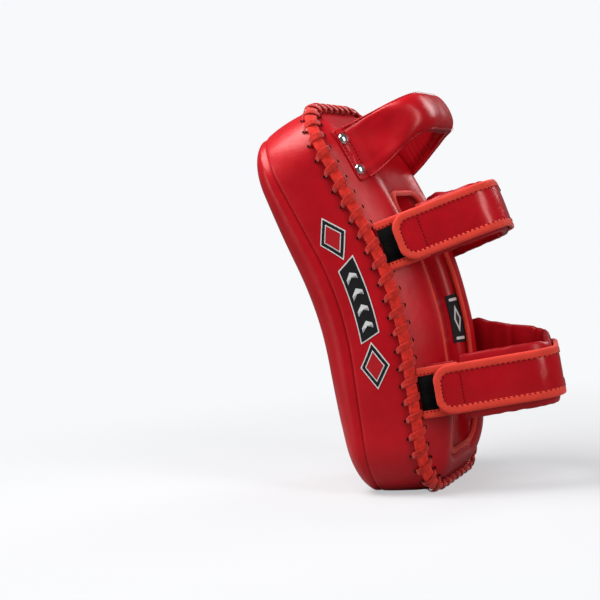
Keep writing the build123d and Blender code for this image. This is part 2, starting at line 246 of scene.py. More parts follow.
def tube_grid(name, rows, colour, uvs=None):
    """A run of rings, closed at both ends."""
    return grid(name, rows, finish(colour), closed_columns=True, caps=True, uvs=uvs)


class Shells:
    """Several shells, each of rows of rings, gathered into one mesh."""

    def __init__(self):
        self.verts, self.faces, self.uvs = [], [], []

    def add(self, rows, first_cap=True, last_cap=True):
        start, count, columns = len(self.verts), len(rows), len(rows[0])
        self.verts += [p for row in rows for p in row]
        self.faces += [tuple(start + i for i in face) for face in rows_to_faces(count, columns, True)]
        if first_cap:
            self.faces.append(tuple(range(start, start + columns)))
        if last_cap:
            self.faces.append(tuple(range(start + (count - 1) * columns, start + count * columns)))

    def make(self, name, material):
        return add_mesh(name, self.verts, self.faces, material, self.uvs)


def close_middle(faces, count, columns):
    """Faces across the last row, from each of its points to the one straight across the pad."""
    first, half = (count - 1) * columns, columns // 2
    for i in range(half):
        a, b = first + i, first + i + 1
        d, e = first + (columns - i) % columns, first + columns - i - 1
        faces.append(tuple(dict.fromkeys((a, d, e, b))))
    return [f for f in faces if len(f) > 2]


def smooth(piece, levels=1):
    """Adds a subdivision surface."""
    mod = piece.modifiers.new("Smooth", "SUBSURF")
    mod.levels = mod.render_levels = levels
    return piece


def thicken(piece, thickness, offset=-1.0):
    """Gives a leather sheet its thickness, inwards unless told otherwise."""
    mod = piece.modifiers.new("Leather", "SOLIDIFY")
    mod.thickness, mod.offset = thickness, offset
    return piece


def fit(piece, body, slot, *nodes):
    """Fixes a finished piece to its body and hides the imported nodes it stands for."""
    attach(piece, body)
    if nodes:
        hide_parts(*nodes)
    return piece


STITCH_FACES = [(0, 1, 2), (0, 2, 3), (1, 4, 5, 2), (2, 5, 6, 3),
                (4, 7, 5), (5, 7, 6), (0, 3, 6, 7), (0, 7, 4, 1)]


def stitches(name, runs, material, length=0.0026, width=0.00085):
    """One mesh of thread stitches, each lying along its run: (place, direction, face) triples."""
    verts, faces = [], []
    for place, direction, face in runs:
        d, f = direction.normalized(), face.normalized()
        side = d.cross(f).normalized() * width / 2
        tip, top = d * length / 2, f * width * 0.45
        n = len(verts)
        verts.append(place - tip - top)
        for half_way in (tip * -0.5, tip * 0.5):
            verts += [place + half_way + edge for edge in (side, top, -side)]
        verts.append(place + tip - top)
        faces += [tuple(n + i for i in corners) for corners in STITCH_FACES]
    return add_mesh(name, verts, faces, material)


# ---- paths of straps and grip ---------------------------------------------------------------
def rounded_path(corners, radii, step=0.003):
    """Evenly spaced (x, y) points along a polyline with rounded corners, and its directions."""
    runs, last = [], Vector(corners[0])
    for i, r in enumerate(radii):
        a, b, c = (Vector(corners[i + k]) for k in range(3))
        u, v = (a - b).normalized(), (c - b).normalized()
        half = u.angle(v) / 2
        reach = r * cos(half) / sin(half)
        start, end = b + u * reach, b + v * reach
        centre = b + (u + v).normalized() * r / sin(half)
        runs.append([last, start])
        p, q = start - centre, end - centre
        turn = p.angle_signed(q)
        arc = max(int(abs(turn) * r / 0.001), 4)
        runs.append([centre + Matrix.Rotation(-turn * k / arc, 2) @ p for k in range(arc + 1)])
        last = end
    runs.append([last, Vector(corners[-1])])
    line = [p for run in runs for p in run]
    lengths = [0.0]
    for p, q in zip(line, line[1:]):
        lengths.append(lengths[-1] + (q - p).length)
    total = lengths[-1]
    count = round(total / step)
    places, j = [], 0
    for i in range(count + 1):
        want = total * i / count
        while j < len(lengths) - 2 and lengths[j + 1] < want:
            j += 1
        span = max(lengths[j + 1] - lengths[j], 1e-9)
        places.append(line[j].lerp(line[j + 1], (want - lengths[j]) / span))
    ways = []
    for i in range(count + 1):
        ways.append((places[min(i + 1, count)] - places[max(i - 1, 0)]).normalized())
    return places, ways, total


class Ribbon:
    """A path across the pad: l runs along it, w along the pad and n out of its outer face."""

    def __init__(self, at, angle, corners, radii, step=0.003):
        self.foot = point(0, at, DEPTH)
        self.across, self.out, self.up = Vector((1, 0, 0)), outward(angle), along(angle)
        self.places, self.ways, self.length = rounded_path(corners, radii, step)

    def sample(self, l):
        k = min(max(l / self.length, 0), 1) * (len(self.places) - 1)
        i = min(int(k), len(self.places) - 2)
        return self.places[i].lerp(self.places[i + 1], k - i), self.ways[i].lerp(self.ways[i + 1], k - i)

    def at(self, l, w=0.0, n=0.0):
        place, way = self.sample(l)
        x, y = place.x - way.y * n, place.y + way.x * n
        return self.foot + self.across * x + self.out * y + self.up * w

    def heading(self, l):
        way = self.sample(l)[1]
        return (self.across * way.x + self.out * way.y).normalized()

    def face(self, l):
        way = self.sample(l)[1]
        return (self.across * -way.y + self.out * way.x).normalized()

    def where(self, test):
        """Length along the path where the test on (x, y) first holds."""
        for i, place in enumerate(self.places):
            if test(place):
                return self.length * i / (len(self.places) - 1)
        return self.length


# ---- finishes -------------------------------------------------------------------------------
class Finish:
    """Builds one material from nodes."""

    def __init__(self, name):
        self.material = bpy.data.materials.new(name)
        self.material.use_nodes = True
        self.tree = self.material.node_tree
        self.shader = self.tree.nodes["Principled BSDF"]
        self.coords = self.tree.nodes.new("ShaderNodeTexCoord")

    def node(self, kind, inputs=None, **settings):
        made = self.tree.nodes.new(kind)
        for key, value in settings.items():
            setattr(made, key, value)
        for key, value in (inputs or {}).items():
            if isinstance(value, bpy.types.NodeSocket):
                self.tree.links.new(value, made.inputs[key])
            else:
                made.inputs[key].default_value = value
        return made

    def place(self, space="Object", scale=(1, 1, 1)):
        inputs = {"Vector": self.coords.outputs[space], "Scale": scale}
        return self.node("ShaderNodeMapping", inputs).outputs[0]

    def noise(self, vector, scale, detail=3.0, rough=0.5):
        inputs = {"Vector": vector, "Scale": scale, "Detail": detail, "Roughness": rough}
        return self.node("ShaderNodeTexNoise", inputs).outputs["Fac"]

    def cells(self, vector, scale):
        made = self.node("ShaderNodeTexVoronoi", {"Vector": vector, "Scale": scale}, feature="SMOOTH_F1")
        return made.outputs["Distance"]

    def waves(self, vector, scale, direction="X"):
        made = self.node("ShaderNodeTexWave", {"Vector": vector, "Scale": scale}, bands_direction=direction)
        return made.outputs["Fac"]

    def spread(self, value, low, high, to_low, to_high):
        made = self.node("ShaderNodeMapRange", {"Value": value, "From Min": low, "From Max": high,
                                                "To Min": to_low, "To Max": to_high})
        return made.outputs[0]

    def mix(self, factor, a, b):
        made = self.tree.nodes.new("ShaderNodeMix")
        made.data_type = "RGBA"
        self.tree.links.new(factor, made.inputs[0])
        for socket, value in ((made.inputs[6], a), (made.inputs[7], b)):
            if isinstance(value, bpy.types.NodeSocket):
                self.tree.links.new(value, socket)
            else:
                socket.default_value = value
        return made.outputs[2]

    def blotches(self, value, low, high, a, b, most=1.0):
        """Colour a, turning to b as the value goes from low to high."""
        return self.mix(self.spread(value, low, high, 0.0, most), a, b)

    def bump(self, height, strength, distance, normal=None):
        inputs = {"Height": height, "Strength": strength, "Distance": distance}
        if normal is not None:
            inputs["Normal"] = normal
        return self.node("ShaderNodeBump", inputs).outputs[0]

    def wire(self, key, value):
        self.tree.links.new(value, self.shader.inputs[key])

    def fix(self, **values):
        for key, value in values.items():
            self.shader.inputs[key.replace("_", " ")].default_value = value


def shade(colour, factor):
    """A darker or lighter colour, with alpha."""
    return tuple(min(c * factor, 1.0) for c in colour[:3]) + (1.0,)


def leather(name, colour, roughness, grain=0.00010, coat=0.25):
    """Coated leather: fine pebble grain, broad unevenness, darker and lighter areas and rubbed patches."""
    f = Finish(name)
    p = f.place()
    tone = f.blotches(f.noise(p, 14.0, 3.0), 0.35, 0.65, shade(colour, 0.88), shade(colour, 1.10))
    mottle = f.noise(p, 95.0, 4.0, 0.6)
    f.wire("Base Color", f.blotches(mottle, 0.40, 0.75, tone, shade(colour, 0.62), 0.22))
    rubbed = f.noise(p, 33.0, 5.0, 0.62)
    f.wire("Roughness", f.spread(rubbed, 0.35, 0.70, roughness - 0.045, roughness + 0.075))
    pebbled = f.bump(f.cells(p, 1150.0), 0.35, grain)
    creased = f.bump(f.noise(p, 210.0, 6.0, 0.6), 0.22, 0.0005, pebbled)
    f.wire("Normal", f.bump(f.noise(p, 36.0, 2.0), 0.30, 0.0016, creased))
    f.fix(Specular_IOR_Level=0.50, Specular_Tint=(1.0, 0.46, 0.44, 1.0),
          Coat_Weight=coat, Coat_Roughness=0.16)
    return f.material


def tape(name, colour):
    """Woven edge tape: ribs across its length, fine yarn along it, matt with a soft sheen."""
    f = Finish(name)
    uv, p = f.place("UV"), f.place()
    ribs, yarn = f.waves(uv, 330.0, "X"), f.waves(uv, 520.0, "Y")
    fuzz = f.noise(p, 900.0, 3.0, 0.7)
    tone = f.blotches(ribs, 0.0, 1.0, shade(colour, 0.70), shade(colour, 1.12))
    tone = f.blotches(f.noise(p, 70.0, 4.0), 0.35, 0.7, tone, shade(colour, 0.66), 0.45)
    f.wire("Base Color", f.blotches(fuzz, 0.45, 0.8, tone, shade(colour, 0.55), 0.35))
    ribbed = f.bump(ribs, 0.55, 0.00022)
    f.wire("Normal", f.bump(fuzz, 0.35, 0.0002, f.bump(yarn, 0.25, 0.0001, ribbed)))
    f.fix(Roughness=0.74, Sheen_Weight=0.25, Sheen_Roughness=0.4, Specular_IOR_Level=0.3)
    return f.material


def suede(name, colour):
    """Suede lace: napped, matt, with darker handled patches."""
    f = Finish(name)
    p = f.place()
    nap = f.noise(p, 1300.0, 4.0, 0.75)
    patches = f.noise(p, 160.0, 4.0, 0.6)
    tone = f.blotches(patches, 0.35, 0.7, shade(colour, 1.10), shade(colour, 0.62))
    f.wire("Base Color", f.blotches(nap, 0.35, 0.75, tone, shade(colour, 0.5), 0.5))
    f.wire("Normal", f.bump(patches, 0.35, 0.0005, f.bump(nap, 0.6, 0.00022)))
    f.fix(Roughness=0.88, Sheen_Weight=0.45, Sheen_Roughness=0.35, Specular_IOR_Level=0.2)
    return f.material


def hook_tape(name):
    """Black hook and loop tape: a dense field of tiny loops."""
    f = Finish(name)
    p = f.place()
    fuzz = f.noise(p, 500.0, 4.0, 0.7)
    f.wire("Base Color", f.blotches(fuzz, 0.3, 0.7, (0.001, 0.001, 0.001, 1), (0.007, 0.006, 0.006, 1)))
    f.wire("Normal", f.bump(f.cells(p, 1500.0), 0.9, 0.0005))
    f.fix(Roughness=0.9, Specular_IOR_Level=0.08)
    return f.material


def thread(name, colour):
    """Twisted sewing thread."""
    f = Finish(name)
    p = f.place()
    twist = f.noise(p, 1800.0, 2.0)
    f.wire("Base Color", f.blotches(twist, 0.3, 0.7, shade(colour, 0.8), shade(colour, 1.2)))
    f.wire("Normal", f.bump(f.noise(p, 2600.0, 2.0), 0.5, 0.0001))
    f.fix(Roughness=0.75, Specular_IOR_Level=0.12)
    return f.material


def plating(name):
    """Bright plated steel with faint handling marks."""
    f = Finish(name)
    marks = f.noise(f.place("Object", (1, 1, 6)), 700.0, 5.0, 0.7)
    cloud = f.noise(f.place(), 260.0, 3.0)
    f.wire("Base Color", f.blotches(cloud, 0.3, 0.7, (0.72, 0.73, 0.75, 1), (0.88, 0.88, 0.89, 1)))
    f.wire("Roughness", f.spread(marks, 0.35, 0.7, 0.10, 0.24))
    f.wire("Normal", f.bump(marks, 0.10, 0.0001))
    f.fix(Metallic=1.0)
    return f.material


def ink(name, colour, roughness=0.38):
    """Flexible print on leather, slightly broken by the grain."""
    f = Finish(name)
    p = f.place()
    worn = f.noise(p, 520.0, 5.0, 0.7)
    f.wire("Base Color", f.blotches(worn, 0.60, 0.80, shade(colour, 1.0), shade(colour, 0.7), 0.5))
    f.wire("Roughness", f.spread(worn, 0.3, 0.7, roughness - 0.05, roughness + 0.08))
    f.wire("Normal", f.bump(f.cells(p, 1150.0), 0.3, 0.0001))
    return f.material


def hole_painted_shade(name):
    """A near-black disc for a punched hole: painted shade inside the hole."""
    f = Finish(name)
    f.wire("Base Color", f.mix(f.noise(f.place(), 900.0), (0.006, 0.001, 0.001, 1), (0.020, 0.003, 0.003, 1)))
    f.fix(Roughness=0.9, Specular_IOR_Level=0.1)
    return f.material


def studio_floor(name):
    """Pale seamless floor that takes soft shadows and fades into the background away from the pad."""
    f = Finish(name)
    f.tree.nodes.remove(f.shader)
    glow = f.node("ShaderNodeEmission", {"Color": (0.935, 0.945, 0.965, 1), "Strength": 0.755})
    matt = f.node("ShaderNodeBsdfDiffuse", {"Color": (0.93, 0.93, 0.94, 1)})
    clear = f.node("ShaderNodeBsdfTransparent")
    both = f.node("ShaderNodeMixShader", {0: 0.36, 1: glow.outputs[0], 2: matt.outputs[0]})
    span = f.node("ShaderNodeVectorMath", {0: f.coords.outputs["Object"]}, operation="LENGTH")
    edge = f.node("ShaderNodeMapRange", {"Value": span.outputs["Value"], "From Min": 0.30, "From Max": 0.85})
    edge.interpolation_type = "SMOOTHSTEP"
    rays = f.node("ShaderNodeLightPath")
    grey = f.node("ShaderNodeBsdfDiffuse", {"Color": (0.30, 0.29, 0.29, 1)})
    to_camera = rays.outputs["Is Camera Ray"]
    seen = f.node("ShaderNodeMixShader", {0: to_camera, 1: grey.outputs[0], 2: both.outputs[0]})
    faded = f.node("ShaderNodeMixShader", {0: edge.outputs[0], 1: seen.outputs[0], 2: clear.outputs[0]})
    out = next(n for n in f.tree.nodes if n.type == "OUTPUT_MATERIAL")
    f.tree.links.new(faded.outputs[0], out.inputs[0])
    return f.material


FINISHES = {}


def finish(name):
    """The named finish, made once from the colours in the panel."""
    if name not in FINISHES:
        c = bpy.context.scene.thai_pad_colours
        makers = {
            "red_leather": lambda: leather("red_leather", c.leather, 0.32, coat=0.03),
            "strap_leather": lambda: leather("strap_leather", c.leather, 0.24, 0.00005, 0.14),
            "lining_leather": lambda: leather("lining_leather", c.lining, 0.34, 0.00008, 0.03),
            "edge_tape": lambda: tape("edge_tape", c.tape),
            "suede_lace": lambda: suede("suede_lace", c.lace),
            # The lace's wraps take a copy of the suede lace at 0.74 of its colour: painted shade, darker than
            # the laid lace though it is one lace.
            "painted_shade_lace": lambda: suede("painted_shade_lace", shade(c.lace, 0.74)),
            "hook_tape": lambda: hook_tape("hook_tape"),
            "dark_thread": lambda: thread("dark_thread", shade(c.leather, 0.20)),
            "red_thread": lambda: thread("red_thread", shade(c.leather, 0.9)),
            "plating": lambda: plating("plating"),
            "black_print": lambda: ink("black_print", (0.006, 0.006, 0.007)),
            "white_print": lambda: ink("white_print", (0.72, 0.72, 0.72)),
            "red_print": lambda: ink("red_print", shade(c.leather, 0.9)),
            "woven_label": lambda: tape("woven_label", (0.014, 0.014, 0.016)),
            # The hole finish is painted shade: near-black for the inside of each punched hole.
            "hole": lambda: hole_painted_shade("hole"),
        }
        FINISHES[name] = makers[name]()
    return FINISHES[name]


# ---- strike panel and gussets ---------------------------------------------------------------
def crown_height(s):
    """How far the strike face stands in front of the seam at s."""
    sizes = bpy.context.scene.thai_pad_sizes
    k = (s - LENGTH / 2) / (LENGTH / 2)
    return sizes.crown_end + (sizes.crown_middle - sizes.crown_end) * (1 - k * k)


def strike_point(x, s, lift=0.0):
    """A point on the strike face."""
    u = depth_inside(x, s, HALF_WIDTH, 0.0, LENGTH, CORNER)
    e = rise(u, STRIKE_REACH, STRIKE_POWER)
    k = (s - LENGTH / 2) / (LENGTH / 2)
    crown = 0.0035 * (1 - (x / HALF_WIDTH) ** 2) * (1 - k * k)
    base = point(x, s, 0)
    pucker = 0.0
    if u < 0.016:
        pucker = 0.00035 * noise.noise(Vector((x, s, 0)) / 0.0065) * (1 - u / 0.016)
    wave = ripple(base, 0.055, 0.0007) * e
    return point(x, s, -(e * crown_height(s) + crown * e + wave + pucker + lift))


def strike_panel():
    """The domed strike face, tucked into the seam round its edge."""
    steps, flat_steps, middle = 15, 9, 0.0975
    rows = [[above_floor(point(x, s, 0.0030)) for x, s in pad_outline(0.0030)],
            [above_floor(point(x, s, 0.0006)) for x, s in pad_outline(0.0012)]]
    insets = [STRIKE_REACH * (1 - cos(pi / 2 * k / steps) ** (2 / STRIKE_POWER)) for k in range(1, steps + 1)]
    insets[0] = 0.0006
    insets += [STRIKE_REACH + (middle - STRIKE_REACH) * k / flat_steps for k in range(1, flat_steps + 1)]
    for inset in insets:
        rows.append([above_floor(strike_point(x, s)) for x, s in pad_outline(inset)])
    columns = len(rows[0])
    faces = close_middle(rows_to_faces(len(rows), columns, True), len(rows), columns)
    panel = add_mesh("strike_panel_leather", [p for row in rows for p in row], faces, finish("red_leather"))
    return smooth(thicken(panel, LEATHER))


def gusset_point(x, s, out_x, out_s, t, lift=0.0):
    """A point on the gusset wall: bulged between its seams and drawn in at the joins."""
    fullness = sin(pi * min(max(t / DEPTH, 0), 1))
    end_seam = 0.0010 * exp(-(x / 0.0012) ** 2)
    swell = 0.0022 * fullness ** 0.8 + ripple(point(x, s, t), 0.045, 0.0008) * fullness - end_seam + lift
    return above_floor(point(x + out_x * swell, s + out_s * swell, t))


def outline_normals(points):
    """Outward unit normals, in the (x, s) plane, of an open or closed outline."""
    normals = []
    for i, _ in enumerate(points):
        (ax, ay), (bx, by) = points[max(i - 1, 0)], points[min(i + 1, len(points) - 1)]
        run = max(hypot(bx - ax, by - ay), 1e-9)
        normals.append(((by - ay) / run, (ax - bx) / run))
    return normals


def gusset(side):
    """One half of the side wall, from the foot's middle to the head's."""
    base = pad_outline(0.0, whole=False)
    normals = outline_normals(base)
    normals[0], normals[-1] = (0.0, -1.0), (0.0, 1.0)
    levels = [(0.0012, -0.0035), (0.0016, -0.0014), (0.0026, -0.0004)]
    levels += [(0.004 + (DEPTH - 0.008) * k / 12, 0.0) for k in range(13)]
    levels += [(DEPTH - 0.0016, -0.0003), (DEPTH - 0.0003, -0.0012)]
    rows = []
    for t, lift in levels:
        rows.append([gusset_point(side * max(x, 0.0003), s, side * nx, ns, t, lift)
                     for (x, s), (nx, ns) in zip(base, normals)])
    name = "right" if side > 0 else "left"
    wall = grid(f"gusset_{name}_leather", rows, finish("red_leather"))
    return smooth(thicken(wall, LEATHER))


# ---- arm side -------------------------------------------------------------------------------
REST = (HALF_WIDTH - REST_INSET, REST_INSET, LENGTH - REST_INSET, REST_CORNER)


def rest_height(x, s):
    """Height of the padded arm rest over the laced edge's plane."""
    u = max(depth_inside(x, s, *REST), 0.0)
    side = sin(pi / 2 * min(u / REST_ROUND, 1)) ** 1.1 + 0.001
    foot = rise(s - REST_INSET, 0.085, 1.6) + 0.001
    head = rise(LENGTH - REST_INSET - s, 0.115, 1.45) + 0.001
    puff = 0.0012 * noise.noise(point(x, s, DEPTH) / 0.06)
    return 0.0005 + (REST_HEIGHT - 0.0010 + puff) * (side ** -5 + foot ** -5 + head ** -5 - 2) ** -0.2


def channel_outline(inset):
    """The channel's rim, inset from its edge."""
    return full_outline(CHANNEL_HALF - inset, CHANNEL_FROM + inset, CHANNEL_TO - inset,
                        max(CHANNEL_CORNER - inset, 0.003))


def rim_edges(inset):
    """(place, outward) pairs round the channel's rim."""
    rim = channel_outline(inset)
    normals = outline_normals(rim + [rim[0]])[:-1]
    normals[0] = (0.0, -1.0)
    return list(zip(rim, normals))


def back_cover():
    """The arm side's leather, rising from the lace over the padding to the channel."""
    rows = [[above_floor(point(x, s, DEPTH + t)) for x, s in pad_outline(inset)]
            for inset, t in ((0.0010, -0.0005), (0.0020, 0.0002))]
    outer, inner = full_outline(*REST), channel_outline(-0.0022)
    steps = 24
    for k in range(steps + 1):
        f = (k / steps) ** 1.25
        row = []
        for (ax, a_s), (bx, b_s) in zip(outer, inner):
            x, s = ax + (bx - ax) * f, a_s + (b_s - a_s) * f
            drop = RIM_DROP * max(0.0, 1 - (1 - f) / 0.45) ** 2
            row.append(point(x, s, DEPTH + rest_height(x, s) - drop))
        rows.append(row)
    cover = grid("back_cover_leather", rows, finish("red_leather"), closed_columns=True)
    return smooth(thicken(cover, LEATHER))


def channel_point(angle, edge, lift=0.0):
    """A point on the channel lining: angle 0 at the rim, 90 degrees on the floor."""
    reach = CHANNEL_HOLLOW * (1 - cos(angle))
    (x, s), (nx, ns) = edge
    x, s = x - nx * reach, s - ns * reach
    top = rest_height(*edge[0]) - RIM_DROP - 0.0012
    h = CHANNEL_FLOOR + (top - CHANNEL_FLOOR) * (1 - sin(angle))
    p = point(x, s, DEPTH + h)
    away = (point(x + nx * 0.001, s + ns * 0.001, DEPTH + h) - p).normalized()
    normal = (outward(lean(s)) * sin(angle) - away * cos(angle)).normalized()
    return p + normal * lift


def channel_panel():
    """The forearm channel's lining: hollow sides and a padded floor."""
    side_steps, floor_steps = 9, 6
    rim, rows = rim_edges(-0.0004), []
    for k in range(side_steps + 1):
        rows.append([channel_point(pi / 2 * k / side_steps, edge) for edge in rim])
    for k in range(1, floor_steps + 1):
        inset = CHANNEL_HOLLOW + (CHANNEL_HALF - 0.002 - CHANNEL_HOLLOW) * k / floor_steps
        swell = 0.0035 * (1 - (1 - k / floor_steps) ** 2)
        seam = -0.0014 * exp(-((k - 1) / 0.6) ** 2)
        rows.append([point(x, s, DEPTH + CHANNEL_FLOOR + swell + seam) for x, s in channel_outline(inset)])
    columns = len(rows[0])
    faces = close_middle(rows_to_faces(len(rows), columns, True), len(rows), columns)
    verts = [p for row in rows for p in row]
    panel = add_mesh("arm_channel_lining", verts, faces, finish("red_leather"), hollow=True)
    return smooth(thicken(panel, 0.0012))


def channel_binding():
    """The tape sewn round the channel's rim."""
    section = [(-0.0022, -0.0030), (-0.0032, -0.0008), (-0.0026, 0.0012), (-0.0006, 0.0021),
               (0.0014, 0.0019), (0.0029, 0.0004), (0.0030, -0.0018), (0.0022, -0.0036)]
    edges = rim_edges(0.0)
    rows, uvs, run = [], [], 0.0
    for i, ((x, s), (nx, ns)) in enumerate(edges):
        h = rest_height(x, s) - RIM_DROP + 0.0014
        rows.append([point(x + nx * a, s + ns * a, DEPTH + h + b) for a, b in section])
        if i:
            last_x, last_s = edges[i - 1][0]
            run += hypot(x - last_x, s - last_s)
        uvs += [(run, k * 0.0018) for k in range(len(section))]
    return smooth(ring_grid("channel_tape", rows, "edge_tape", uvs))


def on_wall(s, degrees, lift):
    """A point on the channel's far wall, by its angle down from the rim."""
    return channel_point(radians(degrees), ((-CHANNEL_HALF - 0.0004, s), (-1.0, 0.0)), lift)


def label():
    """The woven label, sewn on the channel's far wall, with a plain pattern of a lozenge and bars."""
    rows, uvs = [], []
    for i in range(23):
        s = LABEL_MIDDLE + LABEL_LENGTH * (i / 22 - 0.5)
        rows.append([on_wall(s, 3 + 5.4 * k, 0.0010) for k in range(11)])
        uvs += [(s, k * 0.0016) for k in range(11)]
    tab = thicken(grid("woven_label", rows, finish("woven_label"), uvs=uvs), 0.0008, 0.0)
    fit(tab, "pad", "woven_label", "label_tab")
    marks = []
    for name, length, span, lift, colour in (("label_lozenge", 0.012, 15, 0.0019, "white_print"),
                                             ("label_core", 0.007, 9, 0.0022, "black_print")):
        lozenge = [(LABEL_MIDDLE - length, 24), (LABEL_MIDDLE, 24 - span),
                   (LABEL_MIDDLE + length, 24), (LABEL_MIDDLE, 24 + span)]
        marks.append((name, lozenge, lift, colour))
    for k, low in enumerate((LABEL_MIDDLE - 0.0180, LABEL_MIDDLE + 0.0155)):
        high = low + 0.0024
        bar = [(low, 8), (high, 8), (high, 44), (low, 44)]
        marks.append((f"label_bar_{k + 1}", bar, 0.0019, "white_print"))
    for name, outline, lift, colour in marks:
        fit(flat_shape(name, dense(outline, 1.146), on_wall, lift, finish(colour)), "pad", "woven_label")


# ---- lacing ---------------------------------------------------------------------------------
FINE = 24                     # rim stations to one pitch of the wraps


def rim_line():
    """The laced edge as points, leans and the length run so far."""
    loop = full_outline(HALF_WIDTH, 0.0, LENGTH, CORNER)
    loop.append(loop[0])
    places = [point(x, s, DEPTH) for x, s in loop]
    lengths = [0.0]
    for p, q in zip(places, places[1:]):
        lengths.append(lengths[-1] + (q - p).length)
    return places, [lean(s) for _, s in loop], lengths


def rim_stations(count):
    """Even stations round the laced edge: place, heading, outward across the rim, outward of the face."""
    places, leans, lengths = rim_line()
    j, spots = 0, []
    for i in range(count):
        want = lengths[-1] * i / count
        while lengths[j + 1] < want:
            j += 1
        k = (want - lengths[j]) / (lengths[j + 1] - lengths[j])
        spots.append((places[j].lerp(places[j + 1], k), leans[j] + (leans[j + 1] - leans[j]) * k))
    made = []
    for i, (p, a) in enumerate(spots):
        heading = (spots[(i + 1) % count][0] - spots[i - 1][0]).normalized()
        made.append((p, heading, outward(a).cross(heading).normalized(), outward(a)))
    return made


def rim_edge():
    """The two leathers' pressed edges, a solid roll under the lace that closes the seam."""
    radius, rows = 0.0034, []
    for p, _, out, face in rim_stations(240):
        centre = p - (out + face).normalized() * 0.0008
        rows.append([above_floor(centre + out * radius * ca + face * radius * sa) for ca, sa in circle(10)])
    return ring_grid("rim_edge", rows, "red_leather")


def laid_lace(pitch_count):
    """The lace that lies along the rim, pinched under each wrap."""
    per = 8
    stations, length = rim_stations(pitch_count * per), rim_line()[2][-1]
    rows, uvs = [], []
    for i, (p, _, out, face) in enumerate(stations):
        pinch = cos(pi * (i % per) / per) ** 8
        wide, thick = 0.0063 - 0.0014 * pinch, 0.0017 - 0.0006 * pinch
        wobble = noise.noise(p / 0.02) * 0.0005
        diag, side = (out + face).normalized(), (out - face).normalized()
        centre = p + diag * (0.0024 - 0.0006 * pinch) + side * (wobble - 0.0006)
        rows.append([above_floor(centre + side * wide * squared(ca, 0.75) + diag * thick * sa)
                     for ca, sa in circle(12)])
        uvs += [(length * i / len(stations), k * 0.001) for k in range(12)]
    return smooth(ring_grid("laid_lace", rows, "suede_lace", uvs))


# Route of a wrap over the rim: out across the rim, and up through the thickness.
WRAP_LINE = [(0.0008, -0.0080), (0.0036, -0.0070), (0.0052, -0.0046), (0.0060, -0.0018), (0.0056, 0.0014),
             (0.0038, 0.0042), (0.0008, 0.0060), (-0.0022, 0.0069), (-0.0048, 0.0074), (-0.0068, 0.0074),
             (-0.0080, 0.0050)]
# Section of a wrap, across it and up, with a crease along its back.
WRAP_SECTION = [(-1, -0.4), (-0.95, 0.6), (-0.5, 1.0), (0.05, 0.72),
                (0.5, 1.05), (0.95, 0.6), (1, -0.4), (0, -1)]


def between(stations, where):
    """The rim's place and directions between two stations."""
    low = int(where // 1)
    first, second = stations[low % len(stations)], stations[(low + 1) % len(stations)]
    p, h, o, f = (a.lerp(b, where - low) for a, b in zip(first, second))
    return p, h.normalized(), o.normalized(), f.normalized()


def lace_wraps(pitch_count):
    """The wraps of the whip stitch, each from its hole in the gusset over the rim to its hole above."""
    stations, steps = rim_stations(pitch_count * FINE), len(WRAP_LINE) - 1
    wraps, holes = Shells(), []
    for n in range(pitch_count):
        slant = 12 + 2.5 * noise.noise(Vector((n * 1.7, 0.3, 0.1)))
        rows = []
        for k, (a, b) in enumerate(WRAP_LINE):
            p, h, o, f = between(stations, n * FINE + slant * (k / steps - 0.5) + 0.5)
            a0, b0 = WRAP_LINE[max(k - 1, 0)]
            a1, b1 = WRAP_LINE[min(k + 1, steps)]
            lift = h.cross(o * (a1 - a0) + f * (b1 - b0)).normalized()
            if lift.dot(o + f) < 0:
                lift = -lift
            middle, fold = p + o * a + f * b, 0.0002 * sin(k * 2.1 + n)
            half, thick = 0.0042 * (1 - 0.48 * (2 * k / steps - 1) ** 2), 0.0009
            rows.append([above_floor(middle + h * u * half + lift * (v * thick + (fold if u > 0 else -fold)))
                         for u, v in WRAP_SECTION])
            if k == 0:
                holes.append((p + o * 0.0020 - f * 0.0090, h, o, 0.0017))
            if k == steps:
                holes.append((p - o * 0.0088 + f * 0.0067, h, (o * 0.75 + f * 0.66).normalized(), 0.0023))
        wraps.add(rows)
    # The wraps are made in the darker copy of the lace: painted shade on the wraps.
    return smooth(wraps.make("lace_wraps", finish("painted_shade_lace"))), lace_holes(holes)


def lace_holes(holes):
    """Small dark discs at the punched holes: painted shade where the lace goes in."""
    verts, faces = [], []
    for place, h, lie, size in holes:
        side = h.cross(lie).normalized() * 0.85
        start = len(verts)
        verts.append(above_floor(place + lie * 0.0002))
        verts += [above_floor(place + (h * ca + side * sa) * size + lie * 0.0004) for ca, sa in circle(10)]
        faces += [(start, start + 1 + k, start + 1 + (k + 1) % 10) for k in range(10)]
    return add_mesh("lace_holes", verts, faces, finish("hole"))


# ---- grip -----------------------------------------------------------------------------------
def grip_ribbon():
    return Ribbon(GRIP_AT, HEAD_ANGLE, GRIP_PATH, GRIP_ROUNDS)


def grip_sizes(l, total):
    """Half width, thickness and offset up the pad of the grip at l along its path."""
    near_end = min(l, total - l)
    k = min(near_end / 0.075, 1.0)
    ease = k * k * (3 - 2 * k)
    plump = min(max((near_end - 0.004) / 0.060, 0.0), 1.0)
    return 0.0285 - 0.0080 * ease, 0.0035 + 0.0175 * plump ** 0.9, GRIP_OFFSET * ease


